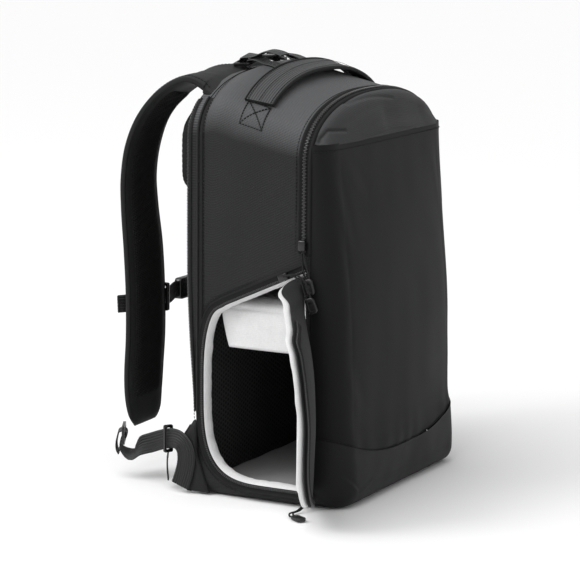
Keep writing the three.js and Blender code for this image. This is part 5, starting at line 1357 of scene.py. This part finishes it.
def make_strap(sign, side_name):
    """Padded strap with bound edges, and air mesh on its inner face"""
    half = s_wide * STRAP_WIDTH / 2
    deep = s_thick * STRAP_THICK
    count = len(strap_places)
    c = np.linspace(-1, 1, 41)
    flip = np.array([sign, 1, 1])
    outer, inner = [], []
    for i in range(count):
        end = min((count - 1 - i) / 10, 1)
        d = deep[i] * math.sqrt(max(1 - (1 - end) ** 2, 0.1))
        crown_line = 0.12 * d - 0.12 * d * np.abs(c) ** 5 - 0.22 * d * np.abs(c) ** 12
        belly_line = -d * (1 - 0.38 * np.abs(c) ** 5)
        seam = 0.55 * np.exp(-(((np.abs(c) - 0.86) / 0.035) ** 2))
        crown_line = crown_line - seam
        outer.append(strap_places[i] + strap_side[i] * (c * half[i])[:, None] + strap_out[i] * crown_line[:, None])
        inner.append(strap_places[i] + strap_side[i] * (c * half[i])[:, None] + strap_out[i] * belly_line[:, None])
    outer, inner = np.array(outer), np.array(inner)
    lumps = 0.5 * ripple(outer, 55, 91) + 0.22 * ripple(outer, 18, 92)
    outer = outer + strap_out[:, None] * (lumps * (1 - np.abs(c) ** 6))[..., None]
    ring_at = np.linspace(-0.62 * pi, 0.62 * pi, 13)
    strap = Shape()
    strap.grid(outer * flip, 0)
    strap.grid(inner * flip, 0)
    for way in (-1, 1):
        edges = []
        for i in range(count):
            top = outer[i, 0 if way < 0 else -1]
            low = inner[i, 0 if way < 0 else -1]
            mid_at, reach = (top + low) / 2, np.linalg.norm(top - low) / 2
            bulge = min(reach, 2.6)
            ring = (mid_at + strap_side[i] * way * (np.cos(ring_at) * bulge - 0.6)[:, None]
                    + strap_out[i] * (np.sin(ring_at) * (reach + 0.9))[:, None])
            edges.append(ring)
        strap.grid(np.array(edges) * flip, 1)
        path = outer[4:count - 6, 3 if way < 0 else -4] + strap_out[4:count - 6] * 0.3
        strap.beads(path * flip, strap_out[4:count - 6] * flip, STITCH_STEP, STRAP_STITCH, 2)
    for i in (0, count - 1):
        strap.grid(np.array([outer[i], inner[i]]) * flip, 0)
    strap.build(side_name + "_strap", [CROWN_CLOTH, BINDING, STITCH],
                [side_name + "_shoulder_strap"], sharp=50)
    # air mesh on the inner face, with slanting ribs
    first, last = 6 * STRAP_FINE // 2 - 4, count - 2 * STRAP_FINE
    fine = 4
    along = np.linspace(first, last - 1, (last - first) * fine)
    lo = np.minimum(along.astype(int), count - 2)
    t = (along - lo)[:, None]
    place = mix(strap_places[lo], strap_places[lo + 1], t)
    side_at = mix(strap_side[lo], strap_side[lo + 1], t)
    out_dir = mix(strap_out[lo], strap_out[lo + 1], t)
    half_at, deep_at = mix(half[lo], half[lo + 1], t[:, 0]) - 5.0, mix(deep[lo], deep[lo + 1], t[:, 0])
    m = np.linspace(-1, 1, 56)
    far_along = np.concatenate([[0], np.cumsum(np.linalg.norm(np.diff(place, axis=0), axis=1))])
    rib = 0.4 * np.sin((far_along[:, None] + 0.55 * m[None] * half_at[:, None]) * 2 * pi / 3.4)
    level_at = -deep_at[:, None] * (1 - 0.38 * np.abs(m) ** 5) - 0.5 - (1.2 + rib) * (1 - np.abs(m) ** 10)
    level_at *= np.clip(np.minimum(far_along, far_along[-1] - far_along) / 5, 0, 1)[:, None] * 0.08 + 0.92
    wide = (m * half_at[:, None])[..., None]
    mesh_points = place[:, None] + side_at[:, None] * wide + out_dir[:, None] * level_at[..., None]
    lining_mesh = Shape()
    lining_mesh.grid(mesh_points * flip)
    lining_mesh.build(side_name + "_strap_lining", [AIR_MESH], [side_name + "_strap_mesh"], sharp=80)


# ---------------------------------------------------------------- webbing and locks
WEB = 1.6
LIFTER_WIDTH, LOWER_WIDTH = 18, 20
LOCK_LONG, LOCK_BAR, LOCK_THICK = 19, 2.4, 3


def lock_matrix(place, turn_x, turn_y, turn_z):
    turned_by = Euler((rad(turn_x), rad(turn_y), rad(turn_z)), "XYZ").to_matrix()
    return np.array(turned_by), np.array(place, float)


def carried(frame_of, points):
    turned_by, place = frame_of
    return np.asarray(points, float) @ turned_by.T + place


def lock_route():
    over = LOCK_THICK / 2 + WEB / 2 + 0.6
    slot = (LOCK_LONG - LOCK_BAR) / 4
    fold = over + 1.7 * WEB
    stops = [(-LOCK_LONG / 2 - 4, over), (-slot - 3, over), (-slot - 1, 0.75 * over), (0.2 - slot, 0),
             (-0.68 * slot, -0.76 * over), (-LOCK_BAR / 2, -over), (LOCK_BAR / 2, -over), (0.68 * slot, -0.76 * over),
             (slot - 0.2, 0), (slot - 0.4, 0.9 * over), (0.6 * slot, fold - 0.8), (0, fold)]
    return [(0, y, z) for y, z in stops]


def banded(stops, sides, steps_each=5):
    """A smooth path through stops, with the side turning evenly between them"""
    stops, sides = np.asarray(stops, float), unit(sides)
    total = (len(stops) - 1) * steps_each
    path = smooth_path(stops, total)
    at = np.linspace(0, len(stops) - 1, total + 1)
    side_path = np.stack([np.interp(at, np.arange(len(stops)), sides[:, k]) for k in range(3)], 1)
    return path, unit(side_path)


ROOT_UP, ROOT_OUT, ROOT_LEAN = STRAP[0, 1], STRAP[0, 2], STRAP[0, 5]
LIFT_OUT, LIFT_LEAN, LIFTER_TAILS = 0.207, 12, (15, 4)
lift_x = -LIFT_OUT * HALF
lift_z = ROOT_UP * HEIGHT + (ROOT_OUT - LIFT_OUT) * HALF * math.tan(rad(ROOT_LEAN)) + 4.4 + LOCK_THICK
lifter = lock_matrix((lift_x, BACK_Y + 6, lift_z), -4, -LIFT_LEAN, 0)


def on_crown(y, lift):
    return (lift_x, y, float(crown_at(y)) - float(arch_drop(lift_x)) + lift)


def make_lifter(sign, side_name, tail):
    """Load lifter on top of a strap"""
    flip = np.array([sign, 1, 1])
    seat = 0.3 + WEB / 2 + 0.2
    begin = [on_crown(54, seat), on_crown(61, seat), on_crown(68, seat + 0.3)]
    end = [on_crown(80, tail * 0.15 + 9.2), on_crown(66, tail * 0.75 + 2), on_crown(54, tail), on_crown(48, tail)]
    loose = (cos(rad(LIFT_LEAN / 3)), 0, sin(rad(LIFT_LEAN / 3)))
    lock_side = lifter[0] @ np.array([1, 0, 0])
    held = carried(lifter, lock_route())
    stops = np.concatenate([begin, held, end])
    sides = [loose] * 3 + [lock_side] * len(held) + [loose] * 4
    path, side_path = banded(stops, sides)
    webbing(side_name + "_lifter_webbing", path * flip, side_path * flip, LIFTER_WIDTH, WEB,
            [side_name + "_lifter_web"], ribs=6)
    moulded(side_name + "_lifter_lock", side_name + "_lifter_buckle")


LOWER_LOCK = (23 - HALF, BACK_Y + STRAP_REACH, 45)


def make_lower_straps():
    """Lower webbing, its locks and its loose ends, on both sides"""
    lower = lock_matrix(LOWER_LOCK, 90, 0, 28 + 180)
    x, y = SIDE_X - 5.9, BACK_Y
    lower_stops = [
        ((x, y + 17, 7), (0, 0.95, 0.3)), ((x, y + 12.3, 21), (0, 0.97, 0.2)), ((x, y + 10, 34), (0, 1, 0)),
        ((x, y + 11.5, 45), (0, 0.94, -0.34)), ((x, y + 17, 52), (0, 0.6, -0.8)),
        ((x + 3, y + 25.5, 53.5), (0, 0.1, -1)),
        ((x + 9, y + 36, 51), (0, 0, -1)), ((x + 15, y + 48, 47), (0, 0, -1)), ((x + 21, y + 63, 41), (0, 0, -1)),
        ((x + 26, y + 78, 35), (-0.25, 0, -0.95)), ((x + 28.5, y + 90, 25), (-0.8, -0.3, -0.4)),
    ]
    lock_side = lower[0] @ np.array([1, 0, 0])
    held = carried(lower, lock_route() + [(0, -9, 7.5), (0, -16, 7), (0, -20, 5)])
    stops = np.concatenate([[p for p, _ in lower_stops], held])
    sides = np.concatenate([[s for _, s in lower_stops], [lock_side] * len(held)])
    path, side_path = banded(stops, sides)
    tail_x, tail_y = SIDE_X + 3.1, BACK_Y + 36
    tail_path = smooth_path([(tail_x, tail_y, 36.2), (tail_x + 1, tail_y + 1.5, 29), (tail_x + 2, tail_y + 2, 19),
                             (tail_x + 2, tail_y + 1, 9)], 24)
    for sign, side_name in SIDES:
        flip = np.array([sign, 1, 1])
        webbing(side_name + "_lower_webbing", path * flip, side_path * flip, LOWER_WIDTH, WEB,
                [side_name + "_lower_web"])
        webbing(side_name + "_lower_tail_end", tail_path * flip, np.array((0.85, 0.5, 0)) * flip, 18, WEB,
                [side_name + "_lower_tail"])
        moulded(side_name + "_lower_lock", side_name + "_lower_buckle")
        moulded(side_name + "_glide", side_name + "_tri_glide")


# the gusset at the foot of each side
WING_LINE = [(71, 2), (95, 2), (101, 14), (103, 34), (100, 58), (88, 76), (85, 72), (85, 40)]


def make_gussets():
    """The gusset at the foot of each side"""
    closed = np.array(WING_LINE + WING_LINE[:1], float)
    wing_line = even(closed, 4)[:-1]
    middle = np.array([93, 36])
    for sign, side_name in SIDES:
        rows = []
        for share, x in ((0.0, -0.5), (0.0, -0.9), (0.03, -2.2), (0.1, -3.4), (0.3, -4.0), (0.6, -4.2), (1, -4.3)):
            ring = mix(wing_line, middle + (wing_line - middle) * 0.02, share)
            bump_ = 0.5 * ripple(np.stack([0 * ring[:, 0], ring[:, 0], ring[:, 1]], 1), 22, 95) * (share > 0)
            low = np.maximum(ring[:, 1], GAP)
            rows.append(np.stack([SIDE_X + x - bump_ * 0.5, ring[:, 0], low], 1))
        shape = Shape()
        shape.grid(np.array(rows) * np.array([sign, 1, 1]), around=True)
        bind = np.array(rows)[2]
        back_edge = bind[(bind[:, 1] > 90)]
        back_edge = back_edge[np.argsort(back_edge[:, 2])]
        tube_rings, _, _ = swept(back_edge, (1, 0, 0), circle(8, 1.1))
        shape.tube(tube_rings * np.array([sign, 1, 1]), 1)
        shape.build(side_name + "_gusset", [CROWN_CLOTH, BINDING], [side_name + "_wing"],
                    sharp=60)


# ---------------------------------------------------------------- sternum strap
STERNUM_Z, STERNUM_RISE, BUCKLE_HALF, STERNUM_WIDTH = 178, 4, 28, 18


def make_sternum_strap():
    """Webbing across the chest, with its keepers"""
    begin = on_strap(STERNUM_Z, 1, -STRAP_THICK / 2)
    inner_x = -BUCKLE_HALF - 0.8
    stops = [(begin[0] + 4, begin[1], begin[2]), (begin[0] + 12, begin[1], begin[2] + 1),
             (inner_x - 6, begin[1], begin[2] + STERNUM_RISE), (inner_x, begin[1], begin[2] + STERNUM_RISE)]
    web_path = smooth_path(stops, 24)
    loop_rows = [(0.97, 0), (0.6, 0.3), (0, 0.3), (-0.5, 1.5), (-0.8, 5), (-0.93, 7.5), (-0.99, 7)]
    loop_path = smooth_path([on_strap(STERNUM_Z, a_, 1.3 + l_) for a_, l_ in loop_rows], 48)
    for sign, side_name in SIDES:
        flip = np.array([sign, 1, 1])
        webbing(side_name + "_sternum_webbing", web_path * flip, (0, 0, -1), STERNUM_WIDTH, WEB,
                [side_name + "_sternum_web"], ribs=6)
        webbing(side_name + "_sternum_keeper_webbing", loop_path * flip, (0, 0.05, 1), STERNUM_WIDTH, WEB,
                [side_name + "_sternum_loop"], ribs=6)
        moulded(side_name + "_keeper", side_name + "_sternum_keeper")


def make_hard_parts():
    """Chest buckle and zip sliders"""
    moulded("chest_buckle", "sternum_buckle", bevel_mm=1.2)
    for slider in ("front_zip_slider", "door_top_slider", "door_bottom_slider"):
        moulded(slider + "_body", slider, bevel_mm=0.8)


# ---------------------------------------------------------------- stage and light


def make_floor():
    """Pale floor"""
    floor_mesh = bpy.data.meshes.new("floor")
    reach = 60
    floor_mesh.from_pydata([(-reach, -reach, 0), (reach, -reach, 0), (reach, reach, 0), (-reach, reach, 0)], [],
                           [(0, 1, 2, 3)])
    floor = bpy.data.objects.new("floor", floor_mesh)
    floor.location.z = -0.0004
    bpy.context.scene.collection.objects.link(floor)
    material, tree, shader = start_material("floor")
    shader.inputs["Base Color"].default_value = (0.93, 0.93, 0.93, 1)
    shader.inputs["Roughness"].default_value = 0.9
    floor_mesh.materials.append(material)


def light(name, place, aim, size, power):
    data = bpy.data.lights.new(name, "AREA")
    data.shape = "RECTANGLE"
    data.size, data.size_y = size
    data.energy = power
    lamp = bpy.data.objects.new(name, data)
    lamp.location = place
    lamp.rotation_euler = (Vector(aim) - Vector(place)).to_track_quat("-Z", "Y").to_euler()
    bpy.context.scene.collection.objects.link(lamp)


def make_light():
    """Even pale surroundings, a soft light overhead and a smaller one from the left"""
    world = bpy.data.worlds.new("studio")
    world.use_nodes = True
    world.node_tree.nodes["Background"].inputs[0].default_value = (1, 1, 1, 1)
    world.node_tree.nodes["Background"].inputs[1].default_value = 0.6
    bpy.context.scene.world = world
    sun = bpy.data.lights.new("overhead", "SUN")
    sun.energy, sun.angle = 1.7, rad(60)
    overhead = bpy.data.objects.new("overhead", sun)
    overhead.rotation_euler = Vector((-0.45, 0.25, 0.85)).to_track_quat("Z", "Y").to_euler()
    bpy.context.scene.collection.objects.link(overhead)
    light("key", (-1.6, 1.3, 1.7), (0, 0, 0.3), (0.9, 0.9), 18)
    bpy.context.scene.view_settings.view_transform = "Standard"


# ---------------------------------------------------------------- making
for pull, (route_stops, pull_side) in PULLS.items():
    make_pull(pull, route_stops, pull_side)
make_body()
make_body_stitching()
make_lining()
make_net_pocket()
make_divider()
make_rim_zip()
make_door_cover()
make_door_padding()
make_flap_zip()
make_front_panel()
make_base()
make_front_stitching()
make_hood()
make_front_zip()
make_back_panel()
make_back_edges()
simulated_pad("upper_pad", "upper_back_pad")
simulated_pad("lower_pad", "lower_back_pad")
make_handle()
make_handle_stitching()
for way, strap_name in SIDES:
    make_strap(way, strap_name)
for (way, strap_name), tail_rise in zip(SIDES, LIFTER_TAILS):
    make_lifter(way, strap_name, tail_rise)
make_lower_straps()
make_gussets()
make_sternum_strap()
make_hard_parts()
make_floor()
make_light()
